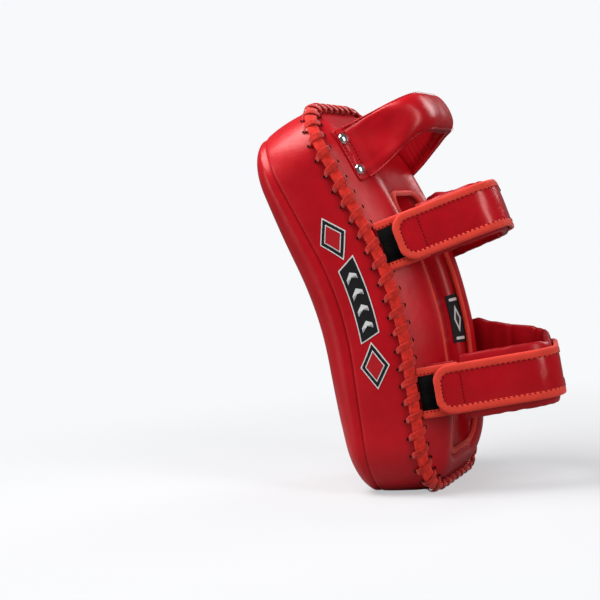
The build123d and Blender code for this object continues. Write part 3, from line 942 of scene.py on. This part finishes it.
def grip_cover(ribbon):
    """The padded grip: flat and dished where it is sewn to its flanges, round along the bar."""
    rows, uvs, stations = [], [], 90
    for i in range(stations + 1):
        l = ribbon.length * i / stations
        half, thick, offset = grip_sizes(l, ribbon.length)
        near_end = min(l, ribbon.length - l)
        dish = -0.0072 * exp(-((near_end - 0.040) / 0.022) ** 2)
        gather = 0.0011 * exp(-near_end / 0.022)
        row = []
        for ca, sa in circle(32):
            w = half * squared(ca, 0.62 + 0.26 * offset / GRIP_OFFSET)
            n = thick / 2 * squared(sa, 0.85) - thick / 2
            if sa > 0:
                n += dish * (1 - (w / half) ** 2)
            n += gather * sin(w * 620 + 1.0) * (1 if sa > 0 else 0.4)
            p = ribbon.at(l, w + offset, n)
            row.append(p + ribbon.face(l) * ripple(p, 0.018, 0.0009))
        rows.append(row)
        uvs += [(l, k * 0.003) for k in range(32)]
    return smooth(tube_grid("grip_leather", rows, "red_leather", uvs))


def grip_seams(ribbon):
    """Two sewn welts along each edge of the grip, with their stitches."""
    welts, sewn, stations, radius = Shells(), [], 110, 0.0010
    for edge in (-1, 1):
        for level in (0, 1):
            rows = []
            for i in range(stations + 1):
                l = 0.004 + (ribbon.length - 0.008) * i / stations
                half, thick, offset = grip_sizes(l, ribbon.length)
                w = edge * half * (0.97 if level else 1.0) + offset
                n = -thick / 2 + (-thick * 0.22 - 0.0004 if level else 0.0014)
                rows.append([ribbon.at(l, w + radius * ca, n + radius * sa) for ca, sa in circle(6)])
                if level == 0 and i % 2 == 0:
                    place = ribbon.at(l, edge * (half * 0.985) + offset, n + 0.0032)
                    sewn.append((place, ribbon.heading(l), ribbon.up * edge + ribbon.face(l) * 0.4))
            welts.add(rows)
    made = smooth(welts.make("grip_welts", finish("red_leather")))
    return made, stitches("grip_stitches", sewn, finish("red_thread"), 0.0022, 0.0008)


def grip_lining(ribbon):
    """The ribbed lining under the bar, gathered into small pleats."""
    rows, uvs, stations, margin, pitch = [], [], 150, 0.012, 0.0058
    for i in range(stations + 1):
        l = margin + (ribbon.length - 2 * margin) * i / stations
        half, thick, offset = grip_sizes(l, ribbon.length)
        row = []
        for k in range(15):
            v = -1 + k / 7
            pleat = 0.0011 * (0.5 + 0.5 * cos(2 * pi * (l + 0.0010 * v * v) / pitch)) * (1 - v ** 6)
            n = -thick - 0.0006 - pleat + 0.35 * thick * max(abs(v) - 0.80, 0) / 0.20
            row.append(ribbon.at(l, v * half * 0.86 + offset, n))
        rows.append(row)
        uvs += [(l, k * 0.003) for k in range(15)]
    lining = grid("grip_ribbed_lining", rows, finish("lining_leather"), uvs=uvs)
    return smooth(thicken(lining, 0.0012, 0.0))


FLANGE_HALF, FLANGE_WIDE = 0.0300, 0.0072
# Lift over the cover, share of the length, share of the width and thickness of the doubled strip.
FLANGE_LAYERS = [(0.0002, 1.0, 1.0, 0.0017), (0.0022, 0.97, 0.90, 0.0016)]
RIVET_PLACES = (-0.0175, 0.0175)
RIVET_PROFILE = [(0.0058, 0.0), (0.0060, 0.0006), (0.0054, 0.0015), (0.0043, 0.0024), (0.0028, 0.0030),
                 (0.0012, 0.0033), (0.0002, 0.0033)]


def flange(side):
    """The doubled leather strip that the rivets clamp, its stitches and its two domed rivets."""
    slope = radians(38)
    across, out_y, up = Vector((side, 0, 0)), outward(HEAD_ANGLE), along(HEAD_ANGLE)
    out, down = across * sin(slope) + out_y * cos(slope), across * cos(slope) - out_y * sin(slope)
    base = point(0, GRIP_AT, DEPTH) + across * 0.0765 + out_y * 0.0175
    name = "right" if side > 0 else "left"

    def at(u, v, lift):
        return base + up * u + down * v + out * lift

    def droop(u):
        return 4.5 * max(u - 0.016, 0.0) ** 2

    strip, sewn, domes = Shells(), [], Shells()
    for layer, (lift, long, wide, thick) in enumerate(FLANGE_LAYERS):
        loop = [(FLANGE_HALF * long * squared(ca, 0.16), FLANGE_WIDE * wide * squared(sa, 0.28))
                for ca, sa in circle(40)]
        rings = [(1.0, 0.0), (1.01, 0.5), (0.985, 0.95), (0.80, 1.05), (0.40, 1.05), (0.0, 1.0)]
        strip.add([[at(u * scale, v * scale, lift + h * thick - droop(u)
                       + 0.0004 * noise.noise(Vector((u, v, layer)) / 0.012)) for u, v in loop]
                   for scale, h in rings], False, False)
    for k in range(15):
        u = FLANGE_HALF * 0.90 * (k / 7 - 1)
        for v in (FLANGE_WIDE * 0.66, -FLANGE_WIDE * 0.66):
            sewn.append((at(u, v, 0.0042 - droop(u)), up, out))
    for place in RIVET_PLACES:
        domes.add([[at(place + r * ca, r * sa, 0.0038 + h) for ca, sa in circle(24)]
                   for r, h in RIVET_PROFILE], False)
    return (smooth(strip.make(f"grip_flange_{name}_leather", finish("red_leather"))),
            stitches(f"flange_{name}_stitches", sewn, finish("dark_thread"), 0.0024, 0.0009),
            domes.make(f"grip_rivets_{name}", finish("plating")))


# ---- closing straps -------------------------------------------------------------------------
# Section of the strap's edge tape: in from the edge, and out of the strap's face.
TAPE_SECTION = [(TAPE, 0.0012), (TAPE, 0.0024), (TAPE * 0.5, 0.0027), (0.0012, 0.0026), (0.0, 0.0014),
                (0.0, -0.0014), (0.0012, -0.0026), (TAPE * 0.5, -0.0027), (TAPE, -0.0024), (TAPE, -0.0012)]
# Section of the base strap's tape: across from its middle, and in from its outer face.
BASE_TAPE_SECTION = [(0.0172, -0.0006), (0.0172, -0.0011), (0.0210, -0.0013), (0.0246, -0.0011),
                     (0.0254, 0.0), (0.0254, 0.0034), (0.0246, 0.0045), (0.0210, 0.0046),
                     (0.0172, 0.0044), (0.0172, 0.0040)]
BASE_LOW, BASE_HIGH = 0.0085, 0.0495
BASE_INWARD = 0.0062          # from the closed tip's line in to the base strap's outer face


class Strap:
    """One closing strap and its own plan: l along it from the far root, w across it, n out of its face."""

    tip_round = 0.0165

    def __init__(self, name):
        self.name, self.size = name, STRAPS[name]
        crest = self.size["crest"]
        bend, foot = (STRAP_BEND_X, crest), STRAP_FOOT
        self.ribbon = Ribbon(self.size["at"], self.size["lean"],
                             [STRAP_ROOT, (STRAP_FOLD_X, crest - 0.026), bend, foot], [0.045, 0.028])
        self.length = self.ribbon.length
        self.peel = self.ribbon.where(lambda p: p.x > PEEL_X)
        self.wrap, self.tip = f"{name}_wrap", f"{name}_tip"
        self.blend_from, self.blend_to = self.ribbon.at(self.peel - 0.006), self.ribbon.at(self.peel + 0.006)
        self.climb = (Vector(bend) - Vector(foot)).normalized()
        self.inward = Vector((-self.climb.y, self.climb.x))

    def wander(self, l):
        """The strap's slight unevenness across its path."""
        return 0.0007 * noise.noise(Vector((l / 0.035, self.size["at"] * 9, 0.4)))

    def edge(self, l):
        """Half width of the strap, rounded at its tip."""
        over = l - (self.length - self.tip_round)
        if over <= 0:
            return STRAP_HALF
        r = self.tip_round
        return STRAP_HALF - r + max(r * r - over * over, 0.0) ** 0.5

    def place(self, l, w, n):
        return self.ribbon.at(l, w, n + self.wander(l))

    def base_at(self, height, w, n):
        """A point on the base strap: height over the rim, w across it, n in from its outer face."""
        foot = Vector(STRAP_FOOT)
        p = foot + self.climb * ((height - foot.y) / self.climb.y) + self.inward * (BASE_INWARD + n)
        r = self.ribbon
        return r.foot + r.across * p.x + r.out * p.y + r.up * w

    def set(self, piece, slot, *nodes):
        """Bakes a piece of the strap's placement into its mesh and hides the imported nodes it stands for."""
        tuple(self.blend_from)
        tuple(self.blend_to)
        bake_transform(piece)
        if nodes:
            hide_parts(*nodes)

    def leather(self):
        """The strap itself: leather both sides, slightly stuffed between its tapes."""
        stations, rows, uvs, skin = 150, [], [], STRAP_SKIN * 0.55
        for i in range(stations + 1):
            l = (self.length - 0.0015) * i / stations
            half = self.edge(l) - 0.0012
            ring = []
            for v in (-1 + k / 5 for k in range(11)):
                uneven = 0.0004 * noise.noise(Vector((l, v * half, 0)) / 0.011)
                ring.append(self.place(l, v * half, skin + 0.0011 * (1 - v * v) ** 0.5 + uneven))
            for v in (1 - k / 5 for k in range(11)):
                ring.append(self.place(l, v * half, -skin - 0.0006 * (1 - v * v) ** 0.5))
            rows.append(ring)
            uvs += [(l, k * 0.004) for k in range(22)]
        return smooth(tube_grid(f"{self.name}_strap_leather", rows, "strap_leather", uvs))

    def rim(self, inset):
        """(l, w) points round the strap's free edge, from one side of the root over the tip to the other."""
        r, top, end = self.tip_round - inset, STRAP_HALF - inset, self.length - inset
        line = [(0.002 + (end - r - 0.002) * i / 130, top) for i in range(130)]
        line += [(end - r + r * sin(pi / 2 * i / 12), top - r + r * cos(pi / 2 * i / 12)) for i in range(12)]
        line += [(end, (top - r) * (1 - i / 4)) for i in range(4)]
        return line + [(l, -w) for l, w in [(end, 0.0)] + line[::-1]]

    def tape(self):
        """The tape folded over the strap's edge and round its tip."""
        outer = self.rim(-0.0006)
        rows, uvs, run = [], [], 0.0
        for i, ((l, w), (nl, nw)) in enumerate(zip(outer, outline_normals(outer))):
            if nl * (self.length * 0.5 - l) - nw * w < 0:
                nl, nw = -nl, -nw
            rows.append([self.place(l + nl * a, w + nw * a, b) for a, b in TAPE_SECTION])
            if i:
                run += hypot(l - outer[i - 1][0], w - outer[i - 1][1])
            uvs += [(run, k * 0.002) for k in range(len(TAPE_SECTION))]
        return smooth(tube_grid(f"{self.name}_strap_tape", rows, "edge_tape", uvs))

    def sewing(self):
        """Stitch lines: along the tape, and across the end of the hook tape."""
        spaced, runs = [], []
        for l, w in self.rim(TAPE - 0.0012):
            if not spaced or hypot(l - spaced[-1][0], w - spaced[-1][1]) > 0.0036:
                spaced.append((l, w))
        for (l, w), (m, v) in zip(spaced, spaced[1:]):
            way = self.place(m, v, 0) - self.place(l, w, 0)
            runs.append((self.place((l + m) / 2, (w + v) / 2, 0.00265), way, self.ribbon.face(l)))
        l = self.length - 0.027
        for k in range(9):
            runs.append((self.place(l, 0.0135 * (k / 4 - 1), 0.0024), self.ribbon.up, self.ribbon.face(l)))
        return stitches(f"{self.name}_strap_stitches", runs, finish("dark_thread"), 0.0026, 0.0009)

    def cuff(self):
        """The padded lining under the strap, creased where it bends, and higher at its far root."""
        stations, low, high = 130, 0.012, self.length - 0.0290
        rows, uvs = [], []
        crest = self.ribbon.where(lambda p: p.x > 0.02)
        for i in range(stations + 1):
            l = low + (high - low) * i / stations
            k = i / stations
            puff = 0.0095 * rounded_end(min(min(k, 1 - k) / 0.035, 1.0), 2.4) + 0.0006
            climb = min(max((l - 0.030) / (crest - 0.030), 0.0), 1.0)
            sag = 0.0060 * exp(-((l - crest) / 0.030) ** 2)
            slack = 0.0022 * noise.noise(Vector((l / 0.016, self.size["crest"] * 5, 0.7))) * (1 - climb)
            top = self.size["cuff"] + self.size["cuff_rise"] * (1 - climb) ** 1.9 - sag + slack
            fold = sum(deep * exp(-((l - where) / 0.0026) ** 2) for where, deep in self.creases())
            ring = []
            for ca, sa in circle(28):
                reach = top if ca > 0 else self.size["cuff"]
                w = reach * squared(ca, 0.55) * (1 - 0.03 * fold / 0.004)
                n = -0.0029 - puff / 2 + puff / 2 * squared(sa, 0.7)
                if sa < 0:
                    n += fold * (1 - 0.4 * abs(ca))
                    n += 0.0012 * noise.noise(Vector((l / 0.012, w / 0.022, self.size["at"] * 7)))
                p = self.place(l, w, n)
                if abs(ca) > 0.8:
                    p += self.ribbon.up * 0.0008 * noise.noise(Vector((l / 0.008, ca, 0.2)))
                ring.append(p)
            rows.append(ring)
            uvs += [(l, j * 0.003) for j in range(28)]
        return smooth(tube_grid(f"{self.name}_strap_cuff", rows, "lining_leather", uvs))

    def creases(self):
        """Folds across the cuff: place along the strap and depth."""
        bends = [0.072, 0.108, 0.121, 0.131, 0.198, 0.212, 0.226]
        return [(b, 0.0022 + 0.0014 * noise.noise(Vector((b * 90, self.size["crest"], 0)))) for b in bends]

    def base_strip(self):
        """The short strap from the rim."""
        rows, widths = [], (-0.0240, -0.012, 0.0, 0.012, 0.0240)
        for i in range(17):
            h = BASE_LOW + (BASE_HIGH - BASE_LOW) * i / 16
            rows.append([self.base_at(h, w, 0.0) for w in widths]
                        + [self.base_at(h, w, 0.0034) for w in widths[::-1]])
        return tube_grid(f"{self.name}_base_leather", rows, "strap_leather")

    def base_tape(self):
        """The tape along the base strap's edges, and its stitches."""
        r = self.ribbon
        face = (r.across * -self.inward.x + r.out * -self.inward.y).normalized()
        climb = (r.across * self.climb.x + r.out * self.climb.y).normalized()
        tapes, sewn, steps = Shells(), [], 16
        for edge in (-1, 1):
            rows = []
            for i in range(steps + 1):
                h = BASE_LOW - 0.0005 + (BASE_HIGH - BASE_LOW + 0.001) * i / steps
                rows.append([self.base_at(h, edge * w, n) for w, n in BASE_TAPE_SECTION])
                tapes.uvs += [(h, k * 0.002) for k in range(len(BASE_TAPE_SECTION))]
            tapes.add(rows)
            for k in range(11):
                h = BASE_LOW + 0.001 + 0.0037 * k
                sewn.append((self.base_at(h, edge * 0.0188, -0.00135), climb, face))
        return (smooth(tapes.make(f"{self.name}_base_tape", finish("edge_tape"))),
                stitches(f"{self.name}_base_stitches", sewn, finish("dark_thread"), 0.0024, 0.0009))

    def loop_patch(self):
        """The loop tape on the base strap."""
        rows, widths = [], (-0.0168, -0.006, 0.006, 0.0168)
        for i in range(13):
            h = BASE_LOW + 0.001 + (BASE_HIGH - BASE_LOW - 0.002) * i / 12
            uneven = 0.0002 * noise.noise(Vector((h / 0.004, 0, 0)))
            rows.append([self.base_at(h, w, -0.0013 + uneven) for w in widths]
                        + [self.base_at(h, w, -0.0002) for w in widths[::-1]])
        return tube_grid(f"{self.name}_loop_tape", rows, "hook_tape")

    def base_cuff(self):
        """The padded lining behind the base strap."""
        rows, wide = [], STRAP_HALF + (0.003 if self.name == "lower" else 0.001)
        for i in range(15):
            k = i / 14
            puff = 0.0040 * (1 - abs(2 * k - 1) ** 5) + 0.0004
            ring = []
            for ca, sa in circle(20):
                w = wide * squared(ca, 0.5)
                n = 0.0052 + puff / 2 - puff / 2 * squared(sa, 0.7)
                uneven = 0.001 * noise.noise(Vector((w / 0.01, k, 0)))
                ring.append(self.base_at(0.0185 + 0.029 * k + uneven, w, n))
            rows.append(ring)
        return smooth(tube_grid(f"{self.name}_base_cuff", rows, "lining_leather"))

    def hook_patch(self):
        """The hook tape under the strap's tip."""
        rows = []
        for i in range(13):
            l = self.length - 0.0245 + 0.0225 * i / 12
            half = min(0.0168, self.edge(l) - 0.005)
            widths = (-half, -half / 3, half / 3, half)
            rows.append([self.place(l, w, -0.0021) for w in widths]
                        + [self.place(l, w, -0.0030) for w in widths[::-1]])
        return tube_grid(f"{self.name}_hook_tape", rows, "hook_tape")


# ---- prints ---------------------------------------------------------------------------------
def on_gusset(side, s, t, lift):
    """A point on the long straight wall of a gusset."""
    return gusset_point(side * HALF_WIDTH, s, side, 0.0, t, lift)


def flat_shape(name, outline_points, place, lift, material):
    """A thin print: a fan over an outline, laid on a surface."""
    rings, count = 6, len(outline_points)
    cx = sum(x for x, _ in outline_points) / count
    cy = sum(y for _, y in outline_points) / count
    verts = [place(cx, cy, lift)]
    for r in range(1, rings + 1):
        share = r / rings
        verts += [place(cx + (x - cx) * share, cy + (y - cy) * share, lift) for x, y in outline_points]
    faces = [(0, 1 + k, 1 + (k + 1) % count) for k in range(count)]
    for r in range(rings - 1):
        for k in range(count):
            a, b = 1 + r * count + k, 1 + r * count + (k + 1) % count
            faces.append((a, a + count, b + count, b))
    return add_mesh(name, verts, faces, material)


def dense(points, step=0.003):
    """The outline with points added along its sides."""
    made = []
    for (ax, ay), (bx, by) in zip(points, points[1:] + points[:1]):
        n = max(int(hypot(bx - ax, by - ay) / step), 1)
        made += [(ax + (bx - ax) * k / n, ay + (by - ay) * k / n) for k in range(n)]
    return made


def scaled(points, grow):
    """The outline moved outwards by grow."""
    n, made = len(points), []
    area = sum(ax * by - bx * ay for (ax, ay), (bx, by) in zip(points, points[1:] + points[:1]))
    turn = 1 if area > 0 else -1
    for i in range(n):
        a, b, c = Vector(points[i - 1]), Vector(points[i]), Vector(points[(i + 1) % n])
        u, v = (b - a).normalized(), (c - b).normalized()
        normal = (Vector((u.y, -u.x)) + Vector((v.y, -v.x))).normalized()
        reach = grow / max(normal.dot(Vector((u.y, -u.x))), 0.35)
        made.append(tuple(b + normal * reach * turn))
    return made


def print_layers(name, points, place, layers, over=0.0):
    """The same outline printed in several colours, each smaller and on top of the last."""
    for k, (grow, colour) in enumerate(layers):
        lift = over + 0.00035 + 0.00018 * k
        shape = flat_shape(f"{name}_{k + 1}", dense(scaled(points, grow)), place, lift, finish(colour))
        fit(shape, "pad", "red_leather")


# ---- operators ------------------------------------------------------------------------------
class PadSizes(bpy.types.PropertyGroup):
    crown_middle: FloatProperty(
        name="Crown at the middle", description="Strike face in front of the seam at half length",
        default=0.0345, min=0.02, max=0.045, unit="LENGTH")
    crown_end: FloatProperty(
        name="Crown at the ends", description="Strike face in front of the seam at foot and head",
        default=0.0215, min=0.01, max=0.03, unit="LENGTH")
    lace_pitch: FloatProperty(
        name="Lace pitch", description="Distance from one wrap of the lace to the next",
        default=0.0175, min=0.010, max=0.030, unit="LENGTH")


def colour_choice(name, description, default):
    """A colour in the panel."""
    return FloatVectorProperty(name=name, description=description, subtype="COLOR", default=default,
                               min=0.0, max=1.0)


class PadColours(bpy.types.PropertyGroup):
    leather: colour_choice("Leather", "Colour of the outer leather", (0.50, 0.005, 0.012))
    lining: colour_choice("Lining", "Colour of the padded linings", (0.39, 0.004, 0.010))
    tape: colour_choice("Tape", "Colour of the woven edge tape", (0.93, 0.055, 0.030))
    lace: colour_choice("Lace", "Colour of the suede lace", (0.86, 0.035, 0.022))


class THAIPAD_OT_strike_panel(bpy.types.Operator):
    """Makes the domed strike face"""
    bl_idname = "thaipad.strike_panel"
    bl_label = "Strike Panel"

    def execute(self, context):
        panel = fit(strike_panel(), "pad", "red_leather", "strike_panel", "strike_foam")
        return {"FINISHED"}


class THAIPAD_OT_gussets(bpy.types.Operator):
    """Makes the two halves of the side wall"""
    bl_idname = "thaipad.gussets"
    bl_label = "Gussets"

    def execute(self, context):
        fit(gusset(1), "pad", "red_leather", "gusset_right", "front_core_foam")
        fit(gusset(-1), "pad", "red_leather", "gusset_left", "rear_core_foam")
        return {"FINISHED"}


class THAIPAD_OT_arm_rest(bpy.types.Operator):
    """Makes the back cover, the forearm channel with its tape, and the label"""
    bl_idname = "thaipad.arm_rest"
    bl_label = "Arm Rest"

    def execute(self, context):
        cover = fit(back_cover(), "pad", "red_leather", "back_cover", "rest_foam")
        fit(channel_panel(), "pad", "red_lining", "arm_channel_panel")
        fit(channel_binding(), "pad", "binding_tape", "channel_binding")
        label()
        return {"FINISHED"}


class THAIPAD_OT_lacing(bpy.types.Operator):
    """Makes the laid lace, its wraps and their holes"""
    bl_idname = "thaipad.lacing"
    bl_label = "Lacing"

    def execute(self, context):
        count = round(rim_line()[2][-1] / context.scene.thai_pad_sizes.lace_pitch)
        fit(rim_edge(), "pad", "red_leather")
        fit(laid_lace(count), "pad", "suede_lace", "edge_cord")
        wraps, eyes = lace_wraps(count)
        fit(wraps, "pad", "suede_lace", "edge_lace")
        fit(eyes, "pad", "red_leather")
        return {"FINISHED"}


class THAIPAD_OT_grip(bpy.types.Operator):
    """Makes the padded grip with its seams and ribbed lining"""
    bl_idname = "thaipad.grip"
    bl_label = "Grip"

    def execute(self, context):
        ribbon = grip_ribbon()
        body = grip_cover(ribbon)
        welts, sewing = grip_seams(ribbon)
        pieces = [(body, "red_leather", ("grip_cover", "grip_foam")), (welts, "red_leather", ()),
                  (sewing, "red_leather", ()), (grip_lining(ribbon), "red_lining", ("grip_lining",))]
        for piece, slot, nodes in pieces:
            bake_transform(piece)
            if nodes:
                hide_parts(*nodes)
        return {"FINISHED"}


class THAIPAD_OT_flanges(bpy.types.Operator):
    """Makes the grip's riveted flanges"""
    bl_idname = "thaipad.flanges"
    bl_label = "Grip Flanges"

    def execute(self, context):
        for side, name in ((1, "right"), (-1, "left")):
            strip, seam, domes = flange(side)
            fit(strip, "pad", "red_leather", f"grip_flange_{name}")
            fit(seam, "pad", "red_leather")
            fit(domes, "pad", "plated_steel", "grip_rivets", "rivet_washers")
        return {"FINISHED"}


class THAIPAD_OT_closing_straps(bpy.types.Operator):
    """Makes both closing straps with their tapes, cuffs and hook and loop patches"""
    bl_idname = "thaipad.closing_straps"
    bl_label = "Closing Straps"

    def execute(self, context):
        for name in STRAPS:
            strap = Strap(name)
            strap.set(strap.leather(), "red_leather", f"{name}_wrap_strap", f"{name}_tip_strap")
            strap.set(strap.tape(), "binding_tape", f"{name}_wrap_binding", f"{name}_tip_binding")
            strap.set(strap.sewing(), "binding_tape")
            cuff = strap.cuff()
            strap.set(cuff, "red_lining", f"{name}_wrap_pad", f"{name}_tip_pad")
            fit(strap.hook_patch(), strap.tip, "hook_loop", f"{name}_hook_patch")
            body = f"{name}_base"
            fit(strap.base_strip(), body, "red_leather", f"{name}_base_strap")
            bound, sewing = strap.base_tape()
            fit(bound, body, "binding_tape", f"{name}_base_binding")
            fit(sewing, body, "binding_tape")
            fit(strap.loop_patch(), body, "hook_loop", f"{name}_loop_patch")
            pad = fit(strap.base_cuff(), body, "red_lining", f"{name}_base_pad")
        return {"FINISHED"}


class THAIPAD_OT_prints(bpy.types.Operator):
    """Prints plain geometric marks on the strike face and the gussets"""
    bl_idname = "thaipad.prints"
    bl_label = "Prints"

    def execute(self, context):
        outlined = [(0.0012, "white_print"), (0.0, "black_print")]
        ring = [(0.040 * ca, 0.262 + 0.040 * sa) for ca, sa in circle(48)]
        print_layers("face_ring", ring, strike_point, [(0.0016, "white_print"), (0.0, "black_print"),
                                                       (-0.0075, "white_print"), (-0.0090, "red_print")])
        diamond = [(0.0, 0.235), (0.020, 0.262), (0.0, 0.289), (-0.020, 0.262)]
        print_layers("face_diamond", diamond, strike_point, outlined, 0.0007)
        bar = [(0.026, 0.052), (0.062, 0.052), (0.058, 0.064), (0.022, 0.064)]
        print_layers("face_bar", bar, strike_point, [(0.0011, "white_print"), (0.0, "black_print")])
        band = [(0.158, 0.0165), (0.228, 0.0165), (0.235, 0.0355), (0.165, 0.0355)]
        chevron = [(0.0, 0.0200), (0.0045, 0.0200), (0.0105, 0.0260), (0.0075, 0.0320), (0.003, 0.0320),
                   (0.0060, 0.0260)]
        for side, name in ((1, "right"), (-1, "left")):
            def on_side(a, b, lift, side=side):
                return on_gusset(side, a, b, lift)

            print_layers(f"{name}_band", band, on_side, outlined)
            for k in range(4):
                start = 0.1665 + 0.0155 * k
                print_layers(f"{name}_chevron_{k + 1}", [(start + a, b) for a, b in chevron], on_side,
                             [(0.0, "white_print")], 0.0004)
            for k, middle in enumerate((0.134, 0.259)):
                kite = [(middle - 0.021, 0.026), (middle, 0.012), (middle + 0.021, 0.026), (middle, 0.040)]
                print_layers(f"{name}_kite_{k + 1}", kite, on_side,
                             outlined + [(-0.0030, "white_print"), (-0.0040, "red_print")])
        return {"FINISHED"}


class THAIPAD_OT_stage(bpy.types.Operator):
    """Makes the floor, the lights, the background and the camera"""
    bl_idname = "thaipad.stage"
    bl_label = "Studio"

    def execute(self, context):
        scene = context.scene
        scene.view_settings.view_transform = "Standard"
        rows = [[Vector((r * ca, r * sa, 0)) for ca, sa in circle(64)]
                for r in (0.001, 0.2, 0.4, 0.6, 0.8, 0.95)]
        grid("studio_floor", rows, studio_floor("studio_floor"), closed_columns=True)
        world = bpy.data.worlds.new("studio")
        scene.world = world
        world.use_nodes = True
        tree = world.node_tree
        pale = tree.nodes["Background"]
        pale.inputs["Color"].default_value = (0.937, 0.945, 0.964, 1)
        dim = tree.nodes.new("ShaderNodeBackground")
        dim.inputs["Color"].default_value = (0.10, 0.10, 0.103, 1)
        rays, choice = tree.nodes.new("ShaderNodeLightPath"), tree.nodes.new("ShaderNodeMixShader")
        tree.links.new(rays.outputs["Is Camera Ray"], choice.inputs[0])
        tree.links.new(dim.outputs[0], choice.inputs[1])
        tree.links.new(pale.outputs[0], choice.inputs[2])
        tree.links.new(choice.outputs[0], tree.nodes["World Output"].inputs[0])
        lamps = [
            ("top", (0.50, -0.75, 1.65), 1.3, 1.1, 44.0),
            ("arm_side", (0.85, 1.35, 0.85), 0.40, 1.3, 15.0),
            ("far_side", (-1.3, 0.9, 1.2), 0.8, 0.8, 10.0),
            ("strike_side", (0.9, -1.7, 0.5), 0.5, 1.2, 7.0),
        ]
        target = Vector((0, 0.02, 0.20))
        for name, place, wide, high, watts in lamps:
            data = bpy.data.lights.new(name, "AREA")
            data.shape, data.size, data.size_y, data.energy = "RECTANGLE", wide, high, watts
            lamp = bpy.data.objects.new(name, data)
            lamp.location = place
            lamp.rotation_mode = "QUATERNION"
            lamp.rotation_quaternion = (target - Vector(place)).to_track_quat("-Z", "Y")
            scene.collection.objects.link(lamp)
        self.camera(scene)
        return {"FINISHED"}

    def camera(self, scene):
        """Looks at the pad from its right, slightly from behind."""
        azimuth, elevation, distance = radians(106.0), radians(3.80), 1.585
        focal, aim_x, aim_y, roll = 1519.0, 142.6, 10.65, radians(-3.83)
        back = Vector((sin(azimuth) * cos(elevation), -cos(azimuth) * cos(elevation), sin(elevation)))
        right = Vector((cos(azimuth), sin(azimuth), 0))
        up = back.cross(right)
        place = point(0, 0, 0) + Vector((0, 0.060, 0.190)) + back * distance
        look = (back * focal + right * aim_x - up * aim_y).normalized()
        right = (right - look * right.dot(look)).normalized()
        up = look.cross(right)
        turned_right, turned_up = right * cos(roll) + up * sin(roll), up * cos(roll) - right * sin(roll)
        axes = Matrix((turned_right, turned_up, look)).transposed()
        data = bpy.data.cameras.new("camera")
        data.sensor_width, data.lens = 36.0, focal / 600 * 36.0
        data.clip_end = 100.0
        cam = bpy.data.objects.new("camera", data)
        cam.matrix_world = Matrix.Translation(place) @ axes.to_4x4()
        scene.collection.objects.link(cam)
        scene.camera = cam


PIECES = [THAIPAD_OT_stage, THAIPAD_OT_strike_panel, THAIPAD_OT_gussets, THAIPAD_OT_arm_rest,
          THAIPAD_OT_lacing, THAIPAD_OT_grip, THAIPAD_OT_flanges, THAIPAD_OT_closing_straps,
          THAIPAD_OT_prints]


class THAIPAD_PT_panel(bpy.types.Panel):
    """Lists the pad's sizes, colours and pieces"""
    bl_idname = "THAIPAD_PT_panel"
    bl_label = "Thai Pad"
    bl_space_type = "VIEW_3D"
    bl_region_type = "UI"
    bl_category = "Thai Pad"

    def draw(self, context):
        layout = self.layout
        for group in (context.scene.thai_pad_sizes, context.scene.thai_pad_colours):
            column = layout.column(align=True)
            for key in group.bl_rna.properties.keys():
                if key not in ("rna_type", "name"):
                    column.prop(group, key)
        for operator in PIECES:
            layout.operator(operator.bl_idname)


CLASSES = [PadSizes, PadColours, *PIECES, THAIPAD_PT_panel]


def register():
    for cls in CLASSES:
        bpy.utils.register_class(cls)
    bpy.types.Scene.thai_pad_sizes = PointerProperty(type=PadSizes)
    bpy.types.Scene.thai_pad_colours = PointerProperty(type=PadColours)


def unregister():
    del bpy.types.Scene.thai_pad_colours
    del bpy.types.Scene.thai_pad_sizes
    for cls in reversed(CLASSES):
        bpy.utils.unregister_class(cls)


def main():
    """Makes every piece in order."""
    register()
    for operator in PIECES:
        getattr(bpy.ops.thaipad, operator.bl_idname.split(".")[1])()


if __name__ == "__main__":
    main()
